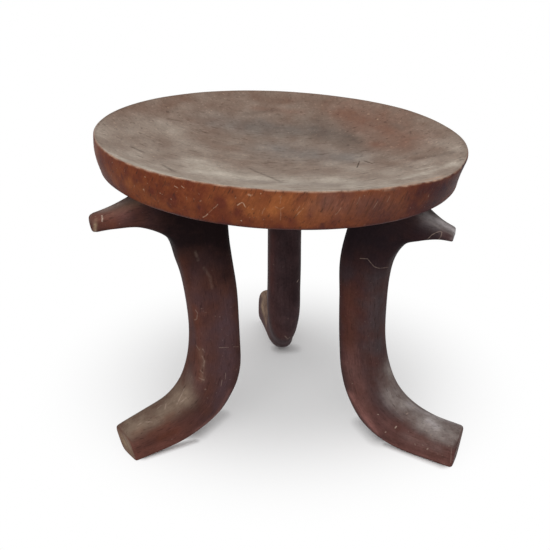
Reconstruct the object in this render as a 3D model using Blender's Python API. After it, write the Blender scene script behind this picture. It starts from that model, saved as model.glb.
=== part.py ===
"""Three-legged carved stool: a dished round seat on three C-shaped legs.

Units are metres and +Z is up. The origin is on the floor, under the middle of the stool's box.
The front is towards -Y: two legs stand left and right of it, and the third stands behind, towards +Y.
Each leg flares out twice, into a blunt horn under the seat and into a foot on the floor.
A round tapered tenon on each leg is driven into a blind mortise in the seat's flat underside.
"""

import math
from dataclasses import dataclass

import bmesh
import bpy
import numpy as np
from mathutils import Matrix, Vector

# Gap between pieces that touch
CLEARANCE = 0.0003

# Seat: a turned dish whose side tapers in towards a rounded lower edge
SEAT_AXIS = (-0.0010, -0.0190)
SEAT_RADIUS = 0.190
RIM_HEIGHT = 0.3275
SIDE_HEIGHT = 0.0330
SIDE_BULGE = 0.0020
LOWER_EDGE_RADIUS = 0.1845
UNDERSIDE_RADIUS = 0.163
SEAT_DEPTH = 0.0405
DISH_DEPTH = 0.0220
DISH_POWER = 2.2
LIP_WIDTH = 0.0025

# The rim's high and low places: height, direction in degrees (0 right, -90 front) and spread in degrees
RIM_WAVES = (
    (0.0021, -99.0, 38.0),
    (-0.0044, -31.0, 17.0),
    (0.0010, 40.0, 18.0),
)
DISH_RIM_POWER = 6
SEAT_LEAN = math.radians(2.64)
SEAT_STEPS = 80

# Legs: heights and radii of the C outline, measured from the legs' own axis
LEG_AXIS = (0.0110, -0.0190)
UNDERSIDE_HEIGHT = RIM_HEIGHT - SEAT_DEPTH
SPLAY_HEIGHT = 0.090
HEEL_RADIUS = 0.115
END_CHAMFER = 0.0025
RINGS_PER_SPAN = 3
RING_POINTS = 20

# Tenons
TENON_REACH = 0.098
TENON_RADIUS = 0.0150
TENON_TAPER = 0.0010
TENON_LENGTH = 0.0150
TENON_ROOT = 0.0060
MORTISE_SPARE = 0.0010
TENON_SIDES = 24


@dataclass(frozen=True)
class Leg:
    """One leg: where it stands and how it departs from the other two, as carved by eye."""

    name: str
    azimuth: float
    twist: float
    splay: float
    girth: float
    half_width: float
    throat: float
    horn_reach: float
    horn_rise: float
    horn_drop: float
    horn_square: float
    heel_rise: float
    sole_rise: float
    instep: float
    foot_reach: float
    foot_height: float
    foot_undercut: float
    foot_square: float
    toe_turn: float


LEGS = (
    Leg(
        name="front_left_leg", azimuth=208.0, twist=2.0, splay=0.055, girth=1.108, half_width=0.0205,
        throat=0.1345, horn_reach=0.2092, horn_rise=0.0020, horn_drop=0.0014, horn_square=3.2,
        heel_rise=0.0030, sole_rise=0.0072, instep=-0.0015,
        foot_reach=0.2130, foot_height=0.0285, foot_undercut=0.005, foot_square=4.5, toe_turn=0.0,
    ),
    Leg(
        name="front_right_leg", azimuth=331.0, twist=-4.0, splay=-0.028, girth=0.99, half_width=0.0205,
        throat=0.1360, horn_reach=0.1835, horn_rise=-0.0035, horn_drop=-0.0030, horn_square=5.5,
        heel_rise=0.0, sole_rise=0.0010, instep=0.0020,
        foot_reach=0.2050, foot_height=0.0405, foot_undercut=0.002, foot_square=3.6, toe_turn=0.0,
    ),
    Leg(
        name="rear_leg", azimuth=93.4, twist=1.0, splay=0.010, girth=1.0, half_width=0.0197,
        throat=0.1330, horn_reach=0.1900, horn_rise=0.0, horn_drop=0.0, horn_square=3.0,
        heel_rise=0.0070, sole_rise=0.0030, instep=0.0,
        foot_reach=0.2300, foot_height=0.0450, foot_undercut=0.005, foot_square=3.6, toe_turn=0.0075,
    ),
)

# How much of a leg's girth its first stations take up: none in the horn, all of it below the throat
GIRTH_SHARE = (0.0, 0.0, 0.0, 0.2, 0.8)


def clear_scene():
    """Removes every object, so that the script can be run again."""
    for item in list(bpy.data.objects):
        bpy.data.objects.remove(item, do_unlink=True)


def wood(name, colour, roughness):
    """Makes a plain wood material."""
    material = bpy.data.materials.new(name)
    material.use_nodes = True
    shader = material.node_tree.nodes["Principled BSDF"]
    shader.inputs["Base Color"].default_value = (*colour, 1.0)
    shader.inputs["Roughness"].default_value = roughness
    shader.inputs["Metallic"].default_value = 0.0
    material.diffuse_color = (*colour, 1.0)
    return material


def add_object(name, bm, material=None):
    """Turns a bmesh into a named object with smooth faces and sharp edges where it turns quickly."""
    bmesh.ops.recalc_face_normals(bm, faces=bm.faces)
    mesh = bpy.data.meshes.new(name)
    bm.to_mesh(mesh)
    bm.free()
    mesh.shade_smooth()
    mesh.set_sharp_from_angle(angle=math.radians(35))
    if material is not None:
        mesh.materials.append(material)
    item = bpy.data.objects.new(name, mesh)
    bpy.context.scene.collection.objects.link(item)
    return item


def add_tool(name, bm):
    """Makes a helper shape for a Boolean, which isn't a piece of the stool."""
    item = add_object(name, bm)
    item.hide_render = True
    item.display_type = "WIRE"
    return item


def combine(item, tool, operation):
    """Joins a helper shape to a piece, or cuts it out."""
    modifier = item.modifiers.new(tool.name, "BOOLEAN")
    modifier.operation = operation
    modifier.solver = "EXACT"
    modifier.object = tool


def through(points, per_span):
    """Carries a smooth Catmull-Rom curve through rows of points, with even steps in each span."""
    rows = np.asarray(points, float)
    padded = np.vstack([2 * rows[0] - rows[1], rows, 2 * rows[-1] - rows[-2]])
    steps = np.arange(per_span * (len(rows) - 1) + 1) / per_span
    span = np.minimum(steps.astype(int), len(rows) - 2)
    t = (steps - span)[:, None]
    a, b, c, d = (padded[span + k] for k in range(4))
    return 0.5 * (2 * b + (c - a) * t + (2 * a - 5 * b + 4 * c - d) * t**2 + (3 * b - a - 3 * c + d) * t**3)


def seat_matrix():
    """Places the seat: its axis leans, so that its right side stands lower than its left."""
    lean = Matrix.Rotation(SEAT_LEAN, 4, "Y")
    return Matrix.Translation((*SEAT_AXIS, RIM_HEIGHT)) @ lean


def seat_profile():
    """Outline of half the seat from the middle of the dish to the middle of the underside."""
    dish_radius = SEAT_RADIUS - LIP_WIDTH
    dish_r = dish_radius * np.linspace(0.0, 1.0, 9)
    dish_z = -DISH_DEPTH * (1.0 - (dish_r / dish_radius) ** DISH_POWER) - LIP_WIDTH * 0.3
    turn = np.radians(np.linspace(75.0, 0.0, 3))
    lip_r = dish_radius + LIP_WIDTH * np.cos(turn)
    lip_z = LIP_WIDTH * (np.sin(turn) - 1.0)
    down = np.linspace(0.0, 1.0, 5)[1:]
    side_r = SEAT_RADIUS + (LOWER_EDGE_RADIUS - SEAT_RADIUS) * down + SIDE_BULGE * np.sin(math.pi * down)
    side_z = -LIP_WIDTH + (LIP_WIDTH - SIDE_HEIGHT) * down
    roll = np.radians(np.linspace(0.0, 90.0, 4))[1:]
    under_r = UNDERSIDE_RADIUS + (LOWER_EDGE_RADIUS - UNDERSIDE_RADIUS) * np.cos(roll)
    under_z = -SIDE_HEIGHT + (SIDE_HEIGHT - SEAT_DEPTH) * np.sin(roll)
    radius = np.concatenate([dish_r, lip_r, side_r, under_r, [0.0]])
    height = np.concatenate([dish_z, lip_z, side_z, under_z, [-SEAT_DEPTH]])
    return list(zip(radius, height))


def rim_rise(angle):
    """How far the hand-cut rim stands above a level circle, in the direction of an angle in degrees."""
    rise = 0.0
    for height, direction, spread in RIM_WAVES:
        turn = (angle - direction + 180.0) % 360.0 - 180.0
        rise += height * math.exp(-((turn / spread) ** 2))
    return rise


def rim_share(radius, height):
    """How much of the rim's rise a place takes up: all of it at the lip, and less away from it."""
    dish_radius = SEAT_RADIUS - LIP_WIDTH
    up_the_side = min(max((height + SIDE_HEIGHT) / (SIDE_HEIGHT - LIP_WIDTH), 0.0), 1.0)
    if radius < dish_radius and up_the_side > 0.0:
        return (radius / dish_radius) ** DISH_RIM_POWER
    return up_the_side


def make_seat(material):
    """Spins the seat's outline about its axis, and lifts the rim where it stands higher."""
    bm = bmesh.new()
    verts = [bm.verts.new((r, 0.0, z)) for r, z in seat_profile()]
    edges = [bm.edges.new(pair) for pair in zip(verts, verts[1:])]
    bmesh.ops.spin(
        bm,
        geom=verts + edges,
        cent=(0.0, 0.0, 0.0),
        axis=(0.0, 0.0, 1.0),
        angle=2.0 * math.pi,
        steps=SEAT_STEPS,
        use_merge=True,
    )
    bmesh.ops.remove_doubles(bm, verts=bm.verts, dist=1e-5)
    for vert in bm.verts:
        angle = math.degrees(math.atan2(vert.co.y, vert.co.x))
        vert.co.z += rim_rise(angle) * rim_share(math.hypot(vert.co.x, vert.co.y), vert.co.z)
    seat = add_object("seat", bm, material)
    seat.matrix_world = seat_matrix()
    return seat


def leg_stations(leg):
    """Pairs the C's outer and inner edges from the horn's tip to the foot's tip.

    A row holds the outer radius and height, the inner radius and height, half the width across the
    leg, and how square the section is outside and inside. Inner points above the underside or below
    the floor are trimmed off later.
    """
    throat, horn, rise, drop = leg.throat, leg.horn_reach, leg.horn_rise, leg.horn_drop
    spread, square = horn - throat, leg.horn_square
    heel, sole, foot, wide = leg.heel_rise, leg.sole_rise, leg.foot_reach, leg.half_width
    return [
        (horn, 0.2515 + rise - drop, horn + 0.001, 0.2645 + rise, 0.0115, square, square),
        (
            throat + 0.70 * spread, 0.2505 + rise - 0.75 * drop,
            throat + 0.71 * spread, 0.2700 + rise, 0.0130, square, square,
        ),
        (
            throat + 0.36 * spread, 0.2470 + rise - 0.3 * drop,
            throat + 0.32 * spread, 0.2810 + rise, 0.0155, square, square,
        ),
        (throat, 0.2350, 0.116, 0.3000, 0.0180, 3.0, 3.0),
        (0.1225, 0.2130, 0.0745, 0.2960, wide, 3.0, 3.0),
        (0.1165, 0.1860, 0.0700, 0.2220, wide, 3.0, 3.0),
        (0.114, 0.1500, 0.0663, 0.1650, wide, 3.0, 3.0),
        (0.1145, 0.1180, 0.0668, 0.1120, wide, 3.0, 2.8),
        (0.1195, 0.0900, 0.0695, 0.0740, wide, 3.0, 2.6),
        (0.131, 0.0660, 0.0785 + heel / 2, 0.0410 + (heel + sole) / 2, wide, 3.0, 2.3),
        (0.150, 0.0500 + leg.instep / 2, 0.0985 + heel, 0.0130 + heel + sole, wide, 2.9, 2.2),
        (0.177, 0.0415 + leg.instep, 0.1380 + heel, sole - 0.0020, 0.95 * wide, 2.8, 2.6),
        (foot, leg.foot_height, foot - leg.foot_undercut, -0.0020, 0.0175, leg.foot_square, leg.foot_square),
    ]


def leg_rings(leg):
    """Computes the leg's rings, one row of points for each, from the horn's tip to the foot's tip."""
    stations = np.array(leg_stations(leg))
    share = np.ones(len(stations))
    share[:len(GIRTH_SHARE)] = GIRTH_SHARE
    girth = 1.0 + (leg.girth - 1.0) * share[:, None]
    stations[:, :2] = stations[:, 2:4] + (stations[:, :2] - stations[:, 2:4]) * girth
    rows = through(stations, RINGS_PER_SPAN)
    outer, inner, half_width, squareness = rows[:, :2], rows[:, 2:4], rows[:, 4], rows[:, 5:]
    middle = (outer + inner) / 2.0
    half_depth = (outer - inner) / 2.0

    # A smaller first and last ring breaks the edge round each end
    ends = np.ones(len(rows) + 2)
    ends[[0, -1]] = 1.0 - END_CHAMFER / np.linalg.norm(half_depth[[0, -1]], axis=1)
    order = np.concatenate([[0], np.arange(len(rows)), [len(rows) - 1]])
    middle, half_depth = middle[order], half_depth[order]
    half_width, squareness = half_width[order], squareness[order]
    tips = np.array([[0, 1], [-1, -2]])
    inward = middle[[2, -3]] - middle[tips[:, 0]]
    inward *= END_CHAMFER / np.linalg.norm(inward, axis=1)[:, None]
    middle[tips[:, 1]] += inward

    turn = 2.0 * math.pi * (np.arange(RING_POINTS) + 0.5) / RING_POINTS
    bend = 2.0 / np.where(np.cos(turn) > 0.0, squareness[:, :1], squareness[:, 1:])
    along = np.sign(np.cos(turn)) * np.abs(np.cos(turn)) ** bend * ends[:, None]
    across = np.sign(np.sin(turn)) * np.abs(np.sin(turn)) ** bend * ends[:, None]
    radius = middle[:, :1] + half_depth[:, :1] * along
    height = middle[:, 1:] + half_depth[:, 1:] * along
    side = half_width[:, None] * across
    return place(leg, radius, side, height)


def place(leg, radius, side, height):
    """Turns a leg's radius, side and height into world points, with the leg's splay and the lean."""
    azimuth = np.radians(leg.azimuth + leg.twist * (1.0 - height / UNDERSIDE_HEIGHT))
    reach = radius + leg.splay * (height - SPLAY_HEIGHT)
    low = np.clip(1.0 - height / SPLAY_HEIGHT, 0.0, 1.0)
    side = side + leg.toe_turn * low * np.clip(radius / HEEL_RADIUS - 1.0, 0.0, None)
    x = LEG_AXIS[0] + reach * np.cos(azimuth) - side * np.sin(azimuth)
    y = LEG_AXIS[1] + reach * np.sin(azimuth) + side * np.cos(azimuth)
    stretch = 1.0 - math.tan(SEAT_LEAN) * (x - SEAT_AXIS[0]) / UNDERSIDE_HEIGHT
    return np.stack([x, y, height * stretch], axis=-1)


def trim(bm, point, normal):
    """Saws off what lies beyond a plane and closes the cut with one flat face."""
    geometry = list(bm.verts) + list(bm.edges) + list(bm.faces)
    bmesh.ops.bisect_plane(bm, geom=geometry, dist=1e-6, plane_co=point, plane_no=normal, clear_outer=True)
    rim = [edge for edge in bm.edges if edge.is_boundary]
    bmesh.ops.holes_fill(bm, edges=rim, sides=0)


def tenon_shape(leg, spare_radius, spare_length):
    """Makes a leg's round tapered tenon, square to the seat's underside."""
    seat = seat_matrix()
    up = seat.to_3x3() @ Vector((0.0, 0.0, 1.0))
    azimuth = math.radians(leg.azimuth)
    reach = TENON_REACH + leg.splay * (UNDERSIDE_HEIGHT - SPLAY_HEIGHT)
    x = LEG_AXIS[0] + reach * math.cos(azimuth)
    y = LEG_AXIS[1] + reach * math.sin(azimuth)
    z = UNDERSIDE_HEIGHT - math.tan(SEAT_LEAN) * (x - SEAT_AXIS[0])
    length = TENON_ROOT + TENON_LENGTH + spare_length
    centre = Vector((x, y, z)) + up * (length / 2.0 - TENON_ROOT)
    bm = bmesh.new()
    bmesh.ops.create_cone(
        bm,
        cap_ends=True,
        segments=TENON_SIDES,
        radius1=TENON_RADIUS + spare_radius,
        radius2=TENON_RADIUS + spare_radius - TENON_TAPER,
        depth=length,
        matrix=Matrix.Translation(centre) @ seat.to_3x3().to_4x4(),
    )
    return bm


def make_leg(leg, material):
    """Lofts a leg through its rings, saws its top and sole flat, and adds its tenon."""
    bm = bmesh.new()
    rings = [[bm.verts.new(point) for point in ring] for ring in leg_rings(leg)]
    for ring, following in zip(rings, rings[1:]):
        for k in range(RING_POINTS):
            n = (k + 1) % RING_POINTS
            bm.faces.new((ring[k], ring[n], following[n], following[k]))
    bm.faces.new(rings[0])
    bm.faces.new(rings[-1])
    seat = seat_matrix()
    shoulder = seat @ Vector((0.0, 0.0, -SEAT_DEPTH - CLEARANCE))
    up = seat.to_3x3() @ Vector((0.0, 0.0, 1.0))
    trim(bm, shoulder, up)
    trim(bm, Vector((0.0, 0.0, 0.0)), Vector((0.0, 0.0, -1.0)))
    item = add_object(leg.name, bm, material)
    combine(item, add_tool(leg.name + "_tenon", tenon_shape(leg, 0.0, 0.0)), "UNION")
    return item


def main():
    """Builds the stool."""
    clear_scene()
    seat_wood = wood("seat_wood", (0.105, 0.046, 0.024), 0.55)
    leg_wood = wood("leg_wood", (0.048, 0.022, 0.015), 0.60)
    stool = bpy.data.objects.new("stool", None)
    bpy.context.scene.collection.objects.link(stool)
    seat = make_seat(seat_wood)
    pieces = [seat]
    for leg in LEGS:
        mortise = tenon_shape(leg, CLEARANCE, MORTISE_SPARE)
        combine(seat, add_tool(leg.name + "_mortise", mortise), "DIFFERENCE")
        pieces.append(make_leg(leg, leg_wood))
    for piece in pieces:
        piece.parent = stool


main()
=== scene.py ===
"""Looks of a low carved stool: old rubbed hardwood, standing on a white studio floor.

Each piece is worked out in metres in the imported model's own frame, so it stands where its node does.
The front is towards -Y, +X is to the right and +Z is up. Colours are sRGB hex values.
"""

import logging
import math
from dataclasses import dataclass, field, replace
from enum import Enum, IntEnum
from functools import cached_property

import bpy
import numpy as np
from mathutils.bvhtree import BVHTree
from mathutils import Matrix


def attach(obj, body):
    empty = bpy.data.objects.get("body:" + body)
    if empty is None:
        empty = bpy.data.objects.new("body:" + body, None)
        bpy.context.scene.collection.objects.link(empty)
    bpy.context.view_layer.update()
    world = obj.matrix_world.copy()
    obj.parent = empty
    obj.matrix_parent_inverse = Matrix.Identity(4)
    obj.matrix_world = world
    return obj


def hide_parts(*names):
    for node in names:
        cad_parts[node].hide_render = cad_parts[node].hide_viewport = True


LOG = logging.getLogger("stool")
Array = np.ndarray
Tree = bpy.types.NodeTree
Socket = bpy.types.NodeSocket
Pixel = tuple[float, float]
Span = tuple[float, float]
Triple = tuple[float, float, float]

MM = 0.001
TINY = 1e-12
WHITE = (1.0, 1.0, 1.0, 1.0)
BODY = "root"

# How many plane waves make up one uneven field, and how far their frequencies spread
WAVES = 28
WAVE_SPREAD = (0.6, 1.5)

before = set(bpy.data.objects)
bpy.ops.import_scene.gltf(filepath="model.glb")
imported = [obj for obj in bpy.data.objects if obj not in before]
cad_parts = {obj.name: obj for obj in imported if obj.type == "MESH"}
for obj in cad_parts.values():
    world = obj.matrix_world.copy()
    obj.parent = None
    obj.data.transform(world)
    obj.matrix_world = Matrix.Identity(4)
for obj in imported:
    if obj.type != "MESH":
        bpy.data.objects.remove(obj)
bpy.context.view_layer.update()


class Tint(Enum):
    """Colours that lie over the wood, each by the name of the mask that carries it."""

    DISH = "dish"
    # Pale wood and dust, and painted highlights on the seat's rim and the right horn
    PALE = "pale"
    BROWN = "brown"
    # Darker wood, and painted shade in the middle of the dish
    DARK = "dark"
    # Redder wood, and painted bounce light along the right leg's lower edges
    RED = "red"
    # Amber wood on the seat's side, and painted bounce light from the floor low on the legs
    AMBER = "amber"
    RUST = "rust"
    # Smoke, and painted shade under the seat and towards the seat's underside
    SOOT_AND_SHADE = "soot_and_shade"
    DUST = "dust"
    # Wear, and painted highlights along the front of the seat's lip and on some edges
    WORN_AND_HIGHLIGHT = "worn_and_highlight"
    COOL = "cool"


class Zone(IntEnum):
    """Where a ring of the seat lies."""

    DISH = 0
    LIP = 1
    BELOW = 2


class Seed(IntEnum):
    """Which uneven field is which on the seat."""

    CARVE = 3
    ADZE = 4
    CLOUD = 6
    DRIFT = 7
    WORN_AND_HIGHLIGHT = 8
    RUST = 9
    LIP = 10
    SPOTS = 14


@dataclass(frozen=True)
class Dab:
    """A soft patch of one tint between two places, which are given in the photograph's frame."""

    tint: Tint
    start: Pixel
    end: Pixel
    radius_mm: float
    strength: float


@dataclass(frozen=True)
class Scratch:
    """A fine line through a few places, which are given in the photograph's frame."""

    path: tuple[Pixel, ...]
    width_mm: float
    strength: float
    is_pale: bool = True


@dataclass(frozen=True)
class Stroke:
    """One straight stretch of a scratch on a surface, with the surface's normal there."""

    start: Array
    end: Array
    normal: Array
    scratch: Scratch


@dataclass(frozen=True)
class View:
    """The photograph's point of view: level, from the front and a little above the seat."""

    target: Triple = (-0.0066, -0.0190, 0.1670)
    distance: float = 1.05
    rise: float = math.radians(23.84)
    focal_px: float = 955.2
    frame_px: int = 550
    sensor_mm: float = 36.0

    def axes(self) -> tuple[Array, Array, Array]:
        """Works out the view's own axes.

        Returns:
            The directions to the right, up and back towards the camera.
        """
        back = np.array([0.0, -math.cos(self.rise), math.sin(self.rise)])
        right = np.array([1.0, 0.0, 0.0])
        return right, np.cross(back, right), back

    def place(self) -> Array:
        """Gives the camera's place."""
        return np.array(self.target) + self.distance * self.axes()[2]

    def project(self, points: Array) -> Array:
        """Finds where points show in the photograph's frame.

        Args:
            points: World points, one in each row.

        Returns:
            Their pixels, from the upper left.
        """
        right, up, back = self.axes()
        offset = points - self.place()
        depth = -offset @ back
        across = self.frame_px / 2 + self.focal_px * (offset @ right) / depth
        down = self.frame_px / 2 - self.focal_px * (offset @ up) / depth
        return np.stack([across, down], axis=-1)

    def ray(self, pixel: Pixel) -> Array:
        """Works out where a pixel looks.

        Args:
            pixel: The place in the photograph's frame.

        Returns:
            The direction from the camera through it.
        """
        right, up, back = self.axes()
        across, down = (np.array(pixel) - self.frame_px / 2) / self.focal_px
        return right * across - up * down - back

    def add_camera(self) -> None:
        """Adds the camera and makes it the scene's own."""
        data = bpy.data.cameras.new("photo_view")
        data.lens = self.focal_px / self.frame_px * self.sensor_mm
        data.sensor_width = self.sensor_mm
        camera = bpy.data.objects.new("photo_view", data)
        camera.location = self.place().tolist()
        camera.rotation_euler = (math.pi / 2 - self.rise, 0.0, 0.0)
        bpy.context.scene.collection.objects.link(camera)
        bpy.context.scene.camera = camera


def linear(code: str) -> tuple[float, float, float, float]:
    """Turns an sRGB hex colour into linear light.

    Args:
        code: The colour as #rrggbb.

    Returns:
        Red, green, blue and full alpha.
    """
    srgb = np.array([int(code[k:k + 2], 16) for k in (1, 3, 5)]) / 255.0
    light = np.where(srgb <= 0.04045, srgb / 12.92, ((srgb + 0.055) / 1.055) ** 2.4)
    return (*light.tolist(), 1.0)


def add_node(tree: Tree, kind: str, inputs: dict | None = None, **settings) -> bpy.types.Node:
    """Adds a node, with its settings, and sets or links its inputs.

    Args:
        tree: The node tree.
        kind: The node's type name.
        inputs: A value, or a socket to link from, for each input's name or number.
        settings: The node's own properties.

    Returns:
        The node.
    """
    node = tree.nodes.new(kind)
    for name, value in settings.items():
        setattr(node, name, value)
    for key, value in (inputs or {}).items():
        if isinstance(value, Socket):
            tree.links.new(value, node.inputs[key])
        else:
            node.inputs[key].default_value = value
    return node


def smooth(value: Array, start: float, end: float) -> Array:
    """Eases from 0 at start to 1 at end with the cubic 3t² - 2t³."""
    t = np.clip((value - start) / (end - start), 0.0, 1.0)
    return t * t * (3.0 - 2.0 * t)


def ripple(points: Array, length_mm: float, seed: int, stretch: Triple = (1.0, 1.0, 1.0)) -> Array:
    """Sums plane waves in random directions into a smooth field, mostly between -1 and 1.

    Args:
        points: World points, in the last axis.
        length_mm: The waves' typical length.
        seed: Which field it is.
        stretch: How much longer the waves are along each axis.

    Returns:
        The field at each point.
    """
    rng = np.random.default_rng(int(seed))
    waves = rng.normal(size=(WAVES, 3))
    waves *= rng.uniform(*WAVE_SPREAD, (WAVES, 1)) / np.linalg.norm(waves, axis=1, keepdims=True)
    waves *= 2.0 * math.pi / (length_mm * MM) / np.array(stretch)
    phase = rng.uniform(0.0, 2.0 * math.pi, WAVES)
    return np.cos(points @ waves.T + phase).sum(axis=-1) / math.sqrt(WAVES)


def through(points: Array, per_span: int) -> Array:
    """Carries a Catmull-Rom curve through rows of numbers.

    Args:
        points: The rows to pass through.
        per_span: Steps from one row to the next.

    Returns:
        The rows of the curve.
    """
    padded = np.vstack([2 * points[0] - points[1], points, 2 * points[-1] - points[-2]])
    steps = np.arange(per_span * (len(points) - 1) + 1) / per_span
    span = np.minimum(steps.astype(int), len(points) - 2)
    t = (steps - span)[:, None]
    a, b, c, d = (padded[span + k] for k in range(4))
    return 0.5 * (2 * b + (c - a) * t + (2 * a - 5 * b + 4 * c - d) * t**2 + (3 * b - a - 3 * c + d) * t**3)


def grid_normals(rings: Array) -> Array:
    """Finds unit normals over closed rings as the cross product of the steps along and around them.

    Args:
        rings: Points, by ring and by place around it.

    Returns:
        A normal for each point.
    """
    along = np.gradient(rings, axis=0)
    around = np.roll(rings, -1, axis=1) - np.roll(rings, 1, axis=1)
    normal = np.cross(along, around)
    return normal / np.maximum(np.linalg.norm(normal, axis=-1, keepdims=True), TINY)


def one_skin(values: Array) -> Array:
    """Flattens values over rings into one row for each vertex, with each end ring shrunk to a point.

    Args:
        values: Points or numbers, by ring and by place around it.

    Returns:
        The rows.
    """
    ends = values[[0, -1]].mean(axis=1)
    inner = values[1:-1].reshape(-1, *values.shape[2:])
    return np.concatenate([ends[:1], inner, ends[1:]])


def skin_faces(rings: int, around: int) -> list[list[int]]:
    """Lists the faces of a closed skin: quads between rings and a fan of triangles onto each end point.

    Args:
        rings: How many rings there are, with the two that are points.
        around: How many points a ring has.

    Returns:
        The vertex numbers of each face.
    """
    inner = np.arange((rings - 2) * around).reshape(rings - 2, around) + 1
    beside = np.roll(inner, -1, axis=1)
    quads = np.stack([inner[:-1], inner[1:], beside[1:], beside[:-1]], axis=-1).reshape(-1, 4)
    first = np.stack([np.zeros_like(inner[0]), inner[0], beside[0]], axis=-1)
    last = np.stack([np.full_like(inner[0], inner.max() + 1), beside[-1], inner[-1]], axis=-1)
    return quads.tolist() + first.tolist() + last.tolist()


@dataclass(frozen=True)
class Skin:
    """A piece's surface, as points and outward normals by ring and place around it, and the view of it."""

    points: Array
    normals: Array
    view: View

    @cached_property
    def tree(self) -> BVHTree:
        """Sorts the surface's faces for casting rays onto them."""
        return BVHTree.FromPolygons(one_skin(self.points).tolist(), skin_faces(*self.points.shape[:2]))

    def spot(self, pixel: Pixel) -> tuple[Array, Array]:
        """Finds the place on the surface that shows at a pixel, or the nearest vertex where it just misses.

        Args:
            pixel: The place in the photograph's frame.

        Returns:
            The point and the normal there.
        """
        point, normal, _, _ = self.tree.ray_cast(self.view.place().tolist(), self.view.ray(pixel).tolist())
        if point is not None:
            return np.array(point), np.array(normal)
        flat = self.points.reshape(-1, 3)
        beside = np.argmin(np.linalg.norm(self.view.project(flat) - np.array(pixel), axis=1))
        return flat[beside], self.normals.reshape(-1, 3)[beside]

    def dab_mask(self, dab: Dab) -> Array:
        """Works out a dab as exp(-(d / radius)²), d being the distance from its line on the surface.

        Args:
            dab: The dab.

        Returns:
            Its strength at each point.
        """
        start, end = self.spot(dab.start)[0], self.spot(dab.end)[0]
        line = end - start
        t = np.clip((self.points - start) @ line / max(line @ line, TINY), 0.0, 1.0)
        gap = np.linalg.norm(self.points - start - t[..., None] * line, axis=-1)
        return dab.strength * np.exp(-(gap / (dab.radius_mm * MM)) ** 2)

    def with_dabs(self, masks: dict[Tint, Array], dabs: tuple[Dab, ...]) -> dict[Tint, Array]:
        """Adds dabs to tint masks, each laid so that none passes full strength.

        Args:
            masks: The strength of each tint at each point.
            dabs: The dabs to add.

        Returns:
            The masks with the dabs.
        """
        for dab in dabs:
            under = masks.get(dab.tint, np.zeros(self.points.shape[:-1]))
            masks[dab.tint] = under + (1.0 - under) * self.dab_mask(dab)
        return masks

    def strokes(self, scratches: tuple[Scratch, ...]) -> list[Stroke]:
        """Lays scratches on the surface, as straight strokes from one of their places to the next.

        Args:
            scratches: The scratches.

        Returns:
            Their strokes.
        """
        strokes = []
        for scratch in scratches:
            spots = [self.spot(pixel) for pixel in scratch.path]
            for (start, normal), (end, _) in zip(spots, spots[1:]):
                strokes.append(Stroke(start, end, normal, scratch))
        return strokes


@dataclass(frozen=True)
class Patterns:
    """One wood's noise patterns: long grain, short pores, rubbed streaks, blotches and fine unevenness."""

    grain: Socket
    pores: Socket
    rubs: Socket
    mottle: Socket
    fine: Socket


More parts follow.
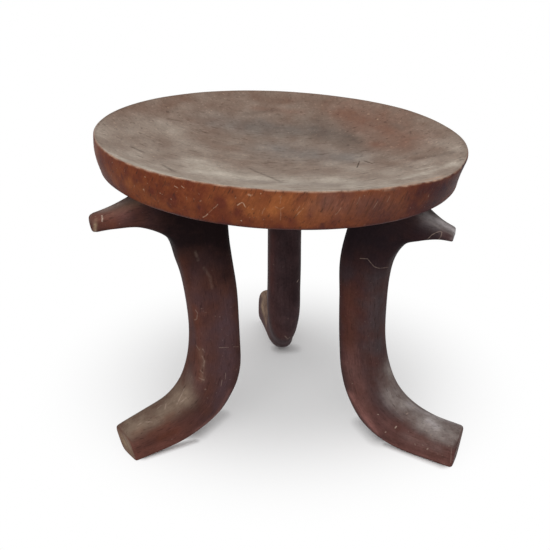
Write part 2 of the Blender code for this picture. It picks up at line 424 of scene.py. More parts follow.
@dataclass(frozen=True)
class CarvedWood:
    """Old, dense hardwood, cut with an adze and a knife, rubbed with oil and worn by use.

    Oil and smoke give it a deep, satin colour. Dust and wear turn it grey on top and pale on its edges.
    The grain shows as long soft streaks, with short dark pores between them.
    """

    name: str
    heart: str
    shade: str
    # Some tints also carry painted light: shade under the seat, bounce light from the floor low on the legs,
    # and highlights on the lip and some edges
    tints: tuple[tuple[Tint, str, float], ...]
    pale_mark: str
    dark_mark: str
    grain_contrast: float
    mottle_contrast: float
    fine_contrast: float
    rub_contrast: float
    pore_strength: float
    dusty_pore_strength: float
    fleck_strength: float
    roughness: float
    dusty_roughness: float
    gloss: float

    # Real pores and grain lines are a fraction of a millimetre wide, too fine to show in the render, so
    # the streaks are drawn several times wider and longer
    grain_width_mm: float = 2.2
    grain_length_mm: float = 30.0
    pore_width_mm: float = 1.8
    pore_length_mm: float = 13.0
    rub_width_mm: float = 1.0
    rub_length_mm: float = 9.0

    # How much longer the blotches are along each axis, their sizes, and the depth of the relief
    spread: Triple = (1.0, 1.0, 1.0)
    mottle_mm: float = 22.0
    fine_mm: float = 3.2
    fleck_mm: float = 3.4
    fleck_patch_mm: float = 42.0
    relief_mm: float = 0.45

    # Levels of a noise between which a pattern goes from nothing to full
    pore_levels: Span = (0.58, 0.70)
    rub_levels: Span = (0.56, 0.74)
    shade_levels: Span = (0.38, 0.66)
    tint_levels: Span = (0.30, 0.70)
    fleck_levels: Span = (0.69, 0.80)
    fleck_patch_levels: Span = (0.42, 0.58)
    scratch_levels: Span = (0.36, 0.54)

    # How faint a scratch gets where it breaks up, and what the patterns do to the relief and the sheen
    faintest_scratch: float = 0.35
    bump_strength: float = 0.5
    pore_height: float = -0.6
    mottle_height: float = 1.2
    grain_dulling: float = 0.25

    def material(self, strokes: list[Stroke]) -> bpy.types.Material:
        """Builds the material.

        Args:
            strokes: The scratches' strokes on the surface.

        Returns:
            The material.
        """
        material = bpy.data.materials.new(self.name)
        material.use_nodes = True
        tree = material.node_tree
        tree.nodes.clear()
        place = add_node(tree, "ShaderNodeTexCoord").outputs["Object"]
        patterns = self.patterns(tree, place)
        colour = self.grained(tree, self.tinted(tree, patterns.mottle), patterns)
        colour = self.flecked(tree, colour, place)
        colour = self.scratched(tree, colour, place, patterns.fine, strokes)
        shader = add_node(tree, "ShaderNodeBsdfPrincipled", {
            "Base Color": colour, "Roughness": self.dulled(tree, patterns.grain),
            "Normal": self.relief(tree, patterns), "Specular IOR Level": self.gloss,
        }).outputs["BSDF"]
        add_node(tree, "ShaderNodeOutputMaterial", {"Surface": shader})
        return material

    def patterns(self, tree: Tree, place: Socket) -> Patterns:
        """Draws the noise patterns: streaks on the fibre coordinates, blotches on the object's own.

        Args:
            tree: The node tree.
            place: Object coordinates.

        Returns:
            The patterns.
        """
        fibre = add_node(tree, "ShaderNodeAttribute", attribute_name="fibre").outputs["Vector"]
        blots = add_node(tree, "ShaderNodeMapping", {
            "Vector": place, "Scale": [1.0 / stretch for stretch in self.spread],
        }).outputs["Vector"]
        grain = self.streaks(tree, fibre, self.grain_width_mm, self.grain_length_mm)
        cuts = []
        for width_mm, length_mm, (low, high) in (
            (self.pore_width_mm, self.pore_length_mm, self.pore_levels),
            (self.rub_width_mm, self.rub_length_mm, self.rub_levels),
        ):
            streaks = self.streaks(tree, fibre, width_mm, length_mm)
            cuts.append(add_node(tree, "ShaderNodeMapRange", {
                "Value": streaks, "From Min": low, "From Max": high,
            }, interpolation_type="SMOOTHSTEP").outputs["Result"])
        blotches = []
        for size_mm, detail, roughness in ((self.mottle_mm, 5.0, 0.62), (self.fine_mm, 3.0, 0.6)):
            blotches.append(add_node(tree, "ShaderNodeTexNoise", {
                "Vector": blots, "Scale": 1.0 / (size_mm * MM), "Detail": detail, "Roughness": roughness,
            }).outputs["Fac"])
        return Patterns(grain, *cuts, *blotches)

    def streaks(self, tree: Tree, fibre: Socket, width_mm: float, length_mm: float) -> Socket:
        """Draws noise out along the fibres, whose direction is the third number of their coordinates.

        Args:
            tree: The node tree.
            fibre: Fibre coordinates.
            width_mm: A streak's typical width.
            length_mm: Its typical length.

        Returns:
            The noise.
        """
        scale = (1.0 / (width_mm * MM), 1.0 / (width_mm * MM), 1.0 / (length_mm * MM))
        drawn = add_node(tree, "ShaderNodeMapping", {"Vector": fibre, "Scale": scale}).outputs["Vector"]
        return add_node(tree, "ShaderNodeTexNoise", {
            "Vector": drawn, "Scale": 1.0, "Detail": 3.0, "Roughness": 0.6, "Distortion": 0.4,
        }).outputs["Fac"]

    def tinted(self, tree: Tree, mottle: Socket) -> Socket:
        """Lays the tints over the mottled heartwood, each edge broken up by the mottle.

        Args:
            tree: The node tree.
            mottle: The noise of the blotches.

        Returns:
            The tinted colour.
        """
        low, high = self.shade_levels
        depth = add_node(tree, "ShaderNodeMapRange", {"Value": mottle, "From Min": low, "From Max": high},
                         interpolation_type="SMOOTHSTEP").outputs["Result"]
        colour = add_node(tree, "ShaderNodeMix", {0: depth, 6: linear(self.heart), 7: linear(self.shade)},
                          data_type="RGBA").outputs[2]
        low, high = self.tint_levels
        for tint, code, break_up in self.tints:
            mask = add_node(tree, "ShaderNodeAttribute", attribute_name=tint.value).outputs["Fac"]
            uneven = add_node(tree, "ShaderNodeMapRange", {
                "Value": mottle, "From Min": low, "From Max": high,
                "To Min": 1.0 - break_up, "To Max": 1.0 + break_up,
            }).outputs["Result"]
            mask = add_node(tree, "ShaderNodeMath", {0: mask, 1: uneven}, operation="MULTIPLY",
                            use_clamp=True).outputs[0]
            colour = add_node(tree, "ShaderNodeMix", {0: mask, 6: colour, 7: linear(code)},
                              data_type="RGBA").outputs[2]
        return colour

    def grained(self, tree: Tree, colour: Socket, patterns: Patterns) -> Socket:
        """Varies a colour's level with the patterns, and sinks dark pores into it.

        The level is 1 plus each pattern's contrast times its noise, which runs from -1 to 1. The rubbed
        streaks only lighten.

        Args:
            tree: The node tree.
            colour: The plain colour.
            patterns: The noise patterns.

        Returns:
            The grained colour.
        """
        level = 1.0 - self.grain_contrast - self.mottle_contrast - self.fine_contrast
        for pattern, gain in (
            (patterns.grain, 2.0 * self.grain_contrast), (patterns.fine, 2.0 * self.fine_contrast),
            (patterns.mottle, 2.0 * self.mottle_contrast), (patterns.rubs, self.rub_contrast),
        ):
            level = add_node(tree, "ShaderNodeMath", {0: pattern, 1: gain, 2: level},
                             operation="MULTIPLY_ADD").outputs[0]
        colour = add_node(tree, "ShaderNodeMix", {0: 1.0, 6: colour, 7: level},
                          data_type="RGBA", blend_type="MULTIPLY").outputs[2]
        dish = add_node(tree, "ShaderNodeAttribute", attribute_name=Tint.DISH.value).outputs["Fac"]
        depth = add_node(tree, "ShaderNodeMapRange", {
            "Value": dish, "To Min": self.pore_strength, "To Max": self.dusty_pore_strength,
        }).outputs["Result"]
        sunk = add_node(tree, "ShaderNodeMath", {0: patterns.pores, 1: depth},
                        operation="MULTIPLY").outputs[0]
        return add_node(tree, "ShaderNodeMix", {0: sunk, 6: colour, 7: linear(self.dark_mark)},
                        data_type="RGBA").outputs[2]

    def flecked(self, tree: Tree, colour: Socket, place: Socket) -> Socket:
        """Scatters small pale flecks, the peaks of a fine noise, over some patches, and not where smoke and
        painted shade darken the wood.

        Args:
            tree: The node tree.
            colour: The colour below.
            place: Object coordinates.

        Returns:
            The flecked colour.
        """
        low, high = self.fleck_levels
        peaks = add_node(tree, "ShaderNodeTexNoise", {
            "Vector": place, "Scale": 1.0 / (self.fleck_mm * MM), "Detail": 1.0,
        }).outputs["Fac"]
        peaks = add_node(tree, "ShaderNodeMapRange", {
            "Value": peaks, "From Min": low, "From Max": high, "To Max": self.fleck_strength,
        }, interpolation_type="SMOOTHSTEP").outputs["Result"]
        low, high = self.fleck_patch_levels
        patches = add_node(tree, "ShaderNodeTexNoise", {
            "Vector": place, "Scale": 1.0 / (self.fleck_patch_mm * MM), "Detail": 2.0,
        }).outputs["Fac"]
        patches = add_node(tree, "ShaderNodeMapRange", {"Value": patches, "From Min": low, "From Max": high},
                           interpolation_type="SMOOTHSTEP").outputs["Result"]
        soot_and_shade = add_node(tree, "ShaderNodeAttribute", attribute_name=Tint.SOOT_AND_SHADE.value).outputs["Fac"]
        bare = add_node(tree, "ShaderNodeMath", {0: 1.0, 1: soot_and_shade}, operation="SUBTRACT").outputs[0]
        flecks = add_node(tree, "ShaderNodeMath", {0: peaks, 1: patches}, operation="MULTIPLY").outputs[0]
        flecks = add_node(tree, "ShaderNodeMath", {0: flecks, 1: bare}, operation="MULTIPLY").outputs[0]
        return add_node(tree, "ShaderNodeMix", {0: flecks, 6: colour, 7: linear(self.pale_mark)},
                        data_type="RGBA").outputs[2]

    def scratched(self, tree: Tree, colour: Socket, place: Socket, fine: Socket,
                  strokes: list[Stroke]) -> Socket:
        """Draws the scratches over a colour, dark ones first, each broken up by the fine unevenness.

        Args:
            tree: The node tree.
            colour: The colour below.
            place: Object coordinates.
            fine: The fine unevenness.
            strokes: The scratches' strokes.

        Returns:
            The scratched colour.
        """
        low, high = self.scratch_levels
        broken = add_node(tree, "ShaderNodeMapRange", {
            "Value": fine, "From Min": low, "From Max": high, "To Min": self.faintest_scratch, "To Max": 1.0,
        }).outputs["Result"]
        for is_pale, code in ((False, self.dark_mark), (True, self.pale_mark)):
            lines = self.drawn(tree, place, [s for s in strokes if s.scratch.is_pale == is_pale])
            if lines is not None:
                lines = add_node(tree, "ShaderNodeMath", {0: lines, 1: broken},
                                 operation="MULTIPLY").outputs[0]
                colour = add_node(tree, "ShaderNodeMix", {0: lines, 6: colour, 7: linear(code)},
                                  data_type="RGBA").outputs[2]
        return colour

    def drawn(self, tree: Tree, place: Socket, strokes: list[Stroke]) -> Socket | None:
        """Draws strokes, each as a soft edge on the distance from its line.

        Args:
            tree: The node tree.
            place: Object coordinates.
            strokes: The strokes.

        Returns:
            The strokes' mask, or None where there are none.
        """
        total = None
        for stroke in strokes:
            line = add_node(tree, "ShaderNodeGroup", {
                "Place": place, "Start": stroke.start.tolist(), "End": stroke.end.tolist(),
                "Normal": stroke.normal.tolist(), "Width": stroke.scratch.width_mm * MM,
                "Strength": stroke.scratch.strength,
            }, node_tree=stroke_group()).outputs["Mask"]
            if total is not None:
                line = add_node(tree, "ShaderNodeMath", {0: total, 1: line}, operation="MAXIMUM").outputs[0]
            total = line
        return total

    def dulled(self, tree: Tree, grain: Socket) -> Socket:
        """Works out the roughness, which dust raises and the grain makes uneven.

        Args:
            tree: The node tree.
            grain: The noise of the grain.

        Returns:
            The roughness.
        """
        dust = add_node(tree, "ShaderNodeAttribute", attribute_name=Tint.DUST.value).outputs["Fac"]
        dull = add_node(tree, "ShaderNodeMath", {0: grain, 1: self.grain_dulling, 2: dust},
                        operation="MULTIPLY_ADD").outputs[0]
        return add_node(tree, "ShaderNodeMapRange", {
            "Value": dull, "From Max": 1.0, "To Min": self.roughness, "To Max": self.dusty_roughness,
        }).outputs["Result"]

    def relief(self, tree: Tree, patterns: Patterns) -> Socket:
        """Raises the grain and the blotches a little and sinks the pores, as a bump.

        Args:
            tree: The node tree.
            patterns: The noise patterns.

        Returns:
            The bumped normal.
        """
        height = patterns.grain
        for pattern, gain in ((patterns.pores, self.pore_height), (patterns.mottle, self.mottle_height)):
            height = add_node(tree, "ShaderNodeMath", {0: pattern, 1: gain, 2: height},
                              operation="MULTIPLY_ADD").outputs[0]
        return add_node(tree, "ShaderNodeBump", {
            "Strength": self.bump_strength, "Distance": self.relief_mm * MM, "Height": height,
        }).outputs["Normal"]


def stroke_group() -> Tree:
    """Gives the node group of one straight stroke, and makes it where it isn't there yet.

    The mask fades to nothing at the width from the line between start and end. Height above that line
    counts only a tenth, so that the stroke also shows on a surface that bends away from it.

    Returns:
        The group.
    """
    name, forgiven_height = "straight_stroke", 0.9
    if name in bpy.data.node_groups:
        return bpy.data.node_groups[name]
    tree = bpy.data.node_groups.new(name, "ShaderNodeTree")
    for socket in ("Place", "Start", "End", "Normal"):
        tree.interface.new_socket(socket, in_out="INPUT", socket_type="NodeSocketVector")
    for socket in ("Width", "Strength"):
        tree.interface.new_socket(socket, in_out="INPUT", socket_type="NodeSocketFloat")
    tree.interface.new_socket("Mask", in_out="OUTPUT", socket_type="NodeSocketFloat")
    given = add_node(tree, "NodeGroupInput").outputs
    reach = add_node(tree, "ShaderNodeVectorMath", {0: given["End"], 1: given["Start"]},
                     operation="SUBTRACT").outputs["Vector"]
    offset = add_node(tree, "ShaderNodeVectorMath", {0: given["Place"], 1: given["Start"]},
                      operation="SUBTRACT").outputs["Vector"]
    share = add_node(tree, "ShaderNodeVectorMath", {0: offset, 1: reach},
                     operation="DOT_PRODUCT").outputs["Value"]
    whole = add_node(tree, "ShaderNodeVectorMath", {0: reach, 1: reach},
                     operation="DOT_PRODUCT").outputs["Value"]
    share = add_node(tree, "ShaderNodeMath", {0: share, 1: whole}, operation="DIVIDE",
                     use_clamp=True).outputs[0]
    foot = add_node(tree, "ShaderNodeVectorMath", {0: reach, "Scale": share},
                    operation="SCALE").outputs["Vector"]
    aside = add_node(tree, "ShaderNodeVectorMath", {0: offset, 1: foot},
                     operation="SUBTRACT").outputs["Vector"]
    rise = add_node(tree, "ShaderNodeVectorMath", {0: aside, 1: given["Normal"]},
                    operation="DOT_PRODUCT").outputs["Value"]
    rise = add_node(tree, "ShaderNodeMath", {0: rise, 1: forgiven_height}, operation="MULTIPLY").outputs[0]
    rise = add_node(tree, "ShaderNodeVectorMath", {0: given["Normal"], "Scale": rise},
                    operation="SCALE").outputs["Vector"]
    gap = add_node(tree, "ShaderNodeVectorMath", {0: aside, 1: rise}, operation="DISTANCE").outputs["Value"]
    mask = add_node(tree, "ShaderNodeMapRange", {
        "Value": gap, "From Min": 0.0, "From Max": given["Width"],
        "To Min": given["Strength"], "To Max": 0.0,
    }, interpolation_type="SMOOTHSTEP").outputs["Result"]
    add_node(tree, "NodeGroupOutput", {"Mask": mask})
    return tree


def add_piece(name: str, rings: Array, fibre: Array, masks: dict[Tint, Array],
              sharp_degrees: float) -> bpy.types.Object:
    """Makes a closed piece from its rings, with its fibre coordinates and its tint masks.

    Args:
        name: The piece's name.
        rings: Points, by ring and by place around it.
        fibre: Fibre coordinates at those points.
        masks: The strength of each tint at those points.
        sharp_degrees: The angle past which an edge is sharp.

    Returns:
        The object, at the origin.
    """
    mesh = bpy.data.meshes.new(name)
    mesh.from_pydata(one_skin(rings).tolist(), [], skin_faces(*rings.shape[:2]))
    mesh.shade_smooth()
    mesh.set_sharp_from_angle(angle=math.radians(sharp_degrees))
    layer = mesh.attributes.new("fibre", "FLOAT_VECTOR", "POINT")
    layer.data.foreach_set("vector", one_skin(fibre).astype(np.float32).ravel())
    for tint in Tint:
        layer = mesh.attributes.new(tint.value, "FLOAT", "POINT")
        values = masks.get(tint, np.zeros(rings.shape[:2]))
        layer.data.foreach_set("value", np.clip(one_skin(values), 0.0, 1.0).astype(np.float32))
    piece = bpy.data.objects.new(name, mesh)
    bpy.context.scene.collection.objects.link(piece)
    return piece


@dataclass
class Seat:
    """The round dished seat, which leans a little to its right."""

    dabs: tuple[Dab, ...] = ()
    scratches: tuple[Scratch, ...] = ()

    # The turned form
    centre: Triple = (-0.0010, -0.0190, 0.3275)
    lean: float = math.radians(2.64)
    radius: float = 0.190
    lip: float = 0.0025
    lip_turn: float = 80.0
    dish_depth: float = 0.0220
    dish_power: float = 2.2
    dish_drop: float = 0.3
    side_height: float = 0.0330
    side_bulge: float = 0.0020
    lower_edge_radius: float = 0.1845
    underside_radius: float = 0.163
    depth: float = 0.0405

    # How the hand-cut rim departs from it: height, direction and spread of each rise, and the flare
    rim_waves: tuple[Triple, ...] = ((0.0021, -99.0, 38.0), (-0.0044, -31.0, 17.0), (0.0010, 40.0, 18.0))
    dish_rim_power: int = 6
    flare: float = 0.0020
    flare_hollow: float = 0.0030
    flare_direction: float = -8.0
    flare_spread: float = 30.0

    # Relief of the tools, which fades towards the middle and the rim
    carve: float = 0.00012
    carve_mm: float = 60.0
    adze: float = 0.00010
    adze_mm: float = 36.0
    still_radius: float = 0.02

    # Directions of the streaks in the dish and on the side, and how many times the wood's own width and
    # length they are drawn there, so that they show
    fibre_swing: float = 0.220
    mark_width: float = 2.7
    mark_length: float = 1.05
    stroke_slant: float = 0.45
    stroke_width: float = 1.1
    stroke_length: float = 0.7

    # Sizes, places and strengths of the tints that follow the shape
    cloud_mm: float = 30.0
    drift_mm: float = 24.0
    drawn_out: Triple = (1.0, 1.6, 1.0)
    front_span: Span = (-0.03, 0.15)
    back_span: Span = (0.0, 0.15)
    pale_span: Span = (0.04, 0.15)
    pale_front: float = 0.42
    pale_cloud: float = 0.12
    brown_back: float = 0.35
    brown_drift: float = 0.18
    dust: float = 0.75
    lip_jag: float = 0.03
    lip_jag_mm: float = 13.0
    lip_fade: Span = (0.25, 0.60)
    # The pale line along the front of the lip: wear and a painted highlight
    lip_wear_and_highlight_at: float = 0.52
    lip_wear_and_highlight_width: float = 0.20
    lip_wear_and_highlight: float = 0.45
    lip_wear_and_highlight_uneven: float = 0.40
    lip_wear_and_highlight_mm: float = 12.0
    rust: float = 0.30
    rust_uneven: float = 0.34
    rust_mm: float = 13.0
    rust_drawn_out: Triple = (1.0, 1.0, 2.0)
    # Smoke and painted shade towards the underside, and dark spots on the side
    soot_and_shade_below: float = 0.9
    soot_and_shade_rise: float = 0.002
    soot_spots: float = 0.45
    spot_mm: float = 9.0
    spot_drawn_out: Triple = (1.0, 1.0, 1.6)
    spot_levels: Span = (1.0, 1.9)

    # The mesh
    around: int = 600
    sharp_degrees: float = 50.0
    rings_of: dict[str, int] = field(default_factory=lambda: {
        "dish": 90, "lip": 9, "side": 20, "roll": 10, "under": 12,
    })

    def profile(self) -> tuple[Array, Array, Array]:
        """Works out half the seat's outline, from the middle of the dish to the middle of the underside.

        The dish is a power curve, the lip and the lower edge are arcs, and the side is a straight taper
        with a sine bulge.

        Returns:
            Radius, height below the rim, and zone of each ring.
        """
        steps = self.rings_of
        dish_radius = self.radius - self.lip
        dish = dish_radius * np.linspace(0.0, 1.0, steps["dish"])
        dish_z = -self.dish_depth * (1.0 - (dish / dish_radius) ** self.dish_power)
        dish_z = dish_z - self.dish_drop * self.lip
        turn = np.radians(np.linspace(self.lip_turn, 0.0, steps["lip"]))
        lip = dish_radius + self.lip * np.cos(turn)
        lip_z = self.lip * (np.sin(turn) - 1.0)
        down = np.linspace(0.0, 1.0, steps["side"])[1:]
        side = self.radius + (self.lower_edge_radius - self.radius) * down
        side = side + self.side_bulge * np.sin(math.pi * down)
        side_z = -self.lip + (self.lip - self.side_height) * down
        roll = np.radians(np.linspace(0.0, 90.0, steps["roll"]))[1:]
        edge = self.underside_radius + (self.lower_edge_radius - self.underside_radius) * np.cos(roll)
        edge_z = -self.side_height + (self.side_height - self.depth) * np.sin(roll)
        under = self.underside_radius * np.linspace(1.0, 0.0, steps["under"])[1:]
        radius = np.concatenate([dish, lip, side, edge, under])
        height = np.concatenate([dish_z, lip_z, side_z, edge_z, np.full(len(under), -self.depth)])
        below = len(side) + len(edge) + len(under)
        zone = np.repeat([int(zone) for zone in Zone], [len(dish), len(lip), below])
        return radius, height, zone

    def surface(self) -> tuple[Array, Array, Array]:
        """Turns the outline about the axis, roughens it as a hand tool does, and leans it.

        Returns:
            World points by ring and angle, the same points before the lean, and each ring's zone.
        """
        radius, height, zone = self.profile()
        angle = np.linspace(0.0, 2.0 * math.pi, self.around, endpoint=False)
        outward = np.stack([np.cos(angle), np.sin(angle)], axis=-1)
        flat = np.stack([
            radius[:, None] * np.cos(angle), radius[:, None] * np.sin(angle),
            np.repeat(height[:, None], self.around, axis=1),
        ], axis=-1)

        # Lifts and flares the rim, and hollows the side below the flare
        share = self.rim_share(radius, height, zone)[:, None]
        flat[..., 2] += share * self.rim_rise(np.degrees(angle))
        turn = (np.degrees(angle) - self.flare_direction + 180.0) % 360.0 - 180.0
        hollow = self.flare_hollow * np.sin(math.pi * share) * (zone == Zone.BELOW)[:, None]
        out = (self.flare * share - hollow) * np.exp(-((turn / self.flare_spread) ** 2))
        flat[..., :2] += out[..., None] * outward

        # Cuts the tool marks along the normals
        off_middle = np.clip(radius / self.still_radius, 0.0, 1.0)
        inside = off_middle * smooth(self.radius - radius, 0.0, self.still_radius) * (zone == Zone.DISH)
        cut = self.carve * ripple(flat, self.carve_mm, Seed.CARVE) * off_middle[:, None]
        cut = cut + self.adze * ripple(flat, self.adze_mm, Seed.ADZE) * inside[:, None]
        flat = flat + grid_normals(flat) * cut[..., None]
        tilt = np.array([
            [math.cos(self.lean), 0.0, math.sin(self.lean)],
            [0.0, 1.0, 0.0],
            [-math.sin(self.lean), 0.0, math.cos(self.lean)],
        ])
        return flat @ tilt.T + np.array(self.centre), flat, zone

    def rim_rise(self, angle: Array) -> Array:
        """Works out the hand-cut rim as a sum of bell curves round the circle.

        Args:
            angle: Directions, in degrees.

        Returns:
            How far the rim stands above a level circle there.
        """
        height, direction, spread = np.array(self.rim_waves).T[..., None]
        turn = (angle - direction + 180.0) % 360.0 - 180.0
        return (height * np.exp(-((turn / spread) ** 2))).sum(axis=0)

    def rim_share(self, radius: Array, height: Array, zone: Array) -> Array:
        """Tells how much of the rim's rise a ring takes up: all of it at the lip, and less away from it.

        Args:
            radius: Each ring's radius.
            height: Its height below the rim.
            zone: Its zone.

        Returns:
            Each ring's share.
        """
        up_the_side = np.clip((height + self.side_height) / (self.side_height - self.lip), 0.0, 1.0)
        over_dish = (radius / (self.radius - self.lip)) ** self.dish_rim_power
        return np.where(zone == Zone.DISH, over_dish, up_the_side)

    def masks(self, flat: Array, zone: Array) -> dict[Tint, Array]:
        """Lays the tints that follow the shape.

        Args:
            flat: The seat's points before the lean.
            zone: Each ring's zone.

        Returns:
            The strength of each tint at each point.
        """
        y, z = flat[..., 1], flat[..., 2]
        on_lip = (zone == Zone.LIP)[:, None]
        front = smooth(-y, *self.front_span)
        edge = smooth(np.hypot(flat[..., 0], y), *self.pale_span)
        over_lip = np.clip(np.cumsum(zone == Zone.LIP) / self.rings_of["lip"], 0.0, 1.0)[:, None]
        over_lip = over_lip + self.lip_jag * ripple(flat, self.lip_jag_mm, Seed.LIP) * on_lip
        dish = (zone != Zone.BELOW)[:, None] * (1.0 - smooth(over_lip, *self.lip_fade))
        lip = np.exp(-((over_lip - self.lip_wear_and_highlight_at) / self.lip_wear_and_highlight_width) ** 2) * on_lip
        below = smooth(-z, self.side_height - self.soot_and_shade_rise, self.depth) * (zone == Zone.BELOW)[:, None]
        cloud = np.clip(ripple(flat, self.cloud_mm, Seed.CLOUD, self.drawn_out), -1.0, 1.0)
        drift = np.clip(ripple(flat, self.drift_mm, Seed.DRIFT, self.drawn_out), -1.0, 1.0)
        worn_and_highlight = self.lip_wear_and_highlight + self.lip_wear_and_highlight_uneven * ripple(flat, self.lip_wear_and_highlight_mm, Seed.WORN_AND_HIGHLIGHT)
        rust = self.rust + self.rust_uneven * ripple(flat, self.rust_mm, Seed.RUST, self.rust_drawn_out)
        spots = smooth(ripple(flat, self.spot_mm, Seed.SPOTS, self.spot_drawn_out), *self.spot_levels)
        brown = self.brown_back * smooth(y, *self.back_span) + self.brown_drift * drift
        return {
            Tint.DISH: dish,
            Tint.PALE: dish * np.clip(self.pale_front * front * edge + self.pale_cloud * cloud, 0.0, 1.0),
            Tint.BROWN: dish * np.clip(brown, 0.0, 1.0),
            # Wear and a painted highlight along the front of the lip
            Tint.WORN_AND_HIGHLIGHT: lip * front * np.clip(worn_and_highlight, 0.0, 1.0),
            Tint.RUST: (1.0 - dish) * np.clip(rust, 0.0, 1.0),
            # Smoke and painted shade towards the underside, and dark spots on the side
            Tint.SOOT_AND_SHADE: np.maximum(self.soot_and_shade_below * below, self.soot_spots * spots * (1.0 - dish)),
            Tint.DUST: self.dust * dish,
        }

    def fibres(self, flat: Array, zone: Array) -> Array:
        """Works out the fibre coordinates, the third of which runs along the streaks.

        In the dish the streaks are arcs about a point behind the seat. On the side they are slanted strokes.

        Args:
            flat: The seat's points before the lean.
            zone: Each ring's zone.

        Returns:
            The fibre coordinates at each point.
        """
        x, y, z = flat[..., 0], flat[..., 1], flat[..., 2]
        behind = self.fibre_swing - y
        round_dish = self.fibre_swing * np.arctan2(x, behind)
        arcs = np.stack([np.hypot(x, behind) / self.mark_width, z, round_dish / self.mark_length], axis=-1)
        across = self.radius * np.arctan2(x, -y) - self.stroke_slant * z
        strokes = np.stack([across / self.stroke_width, np.hypot(x, y), z / self.stroke_length], axis=-1)
        return np.where((zone == Zone.DISH)[:, None, None], arcs, strokes)

    def build(self, view: View, finish: CarvedWood) -> bpy.types.Object:
        """Builds and dresses the seat.

        Args:
            view: The photograph's view, for what is placed by its pixels.
            finish: The wood.

        Returns:
            The seat's piece.
        """
        points, flat, zone = self.surface()
        skin = Skin(points, grid_normals(points), view)
        masks = skin.with_dabs(self.masks(flat, zone), self.dabs)

        # Keeps each dab on the dish, on the lip or on the side
        for tint in (Tint.PALE, Tint.BROWN, Tint.RED, Tint.DARK, Tint.COOL):
            masks[tint] = masks[tint] * masks[Tint.DISH]
        masks[Tint.WORN_AND_HIGHLIGHT] = masks[Tint.WORN_AND_HIGHLIGHT] * (zone != Zone.BELOW)[:, None]
        for tint in (Tint.AMBER, Tint.RUST, Tint.SOOT_AND_SHADE):
            masks[tint] = masks[tint] * (zone != Zone.DISH)[:, None]
        piece = add_piece("carved_seat", points, self.fibres(flat, zone), masks, self.sharp_degrees)
        piece.data.materials.append(finish.material(skin.strokes(self.scratches)))
        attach(piece, BODY)
        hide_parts("seat")
        return piece


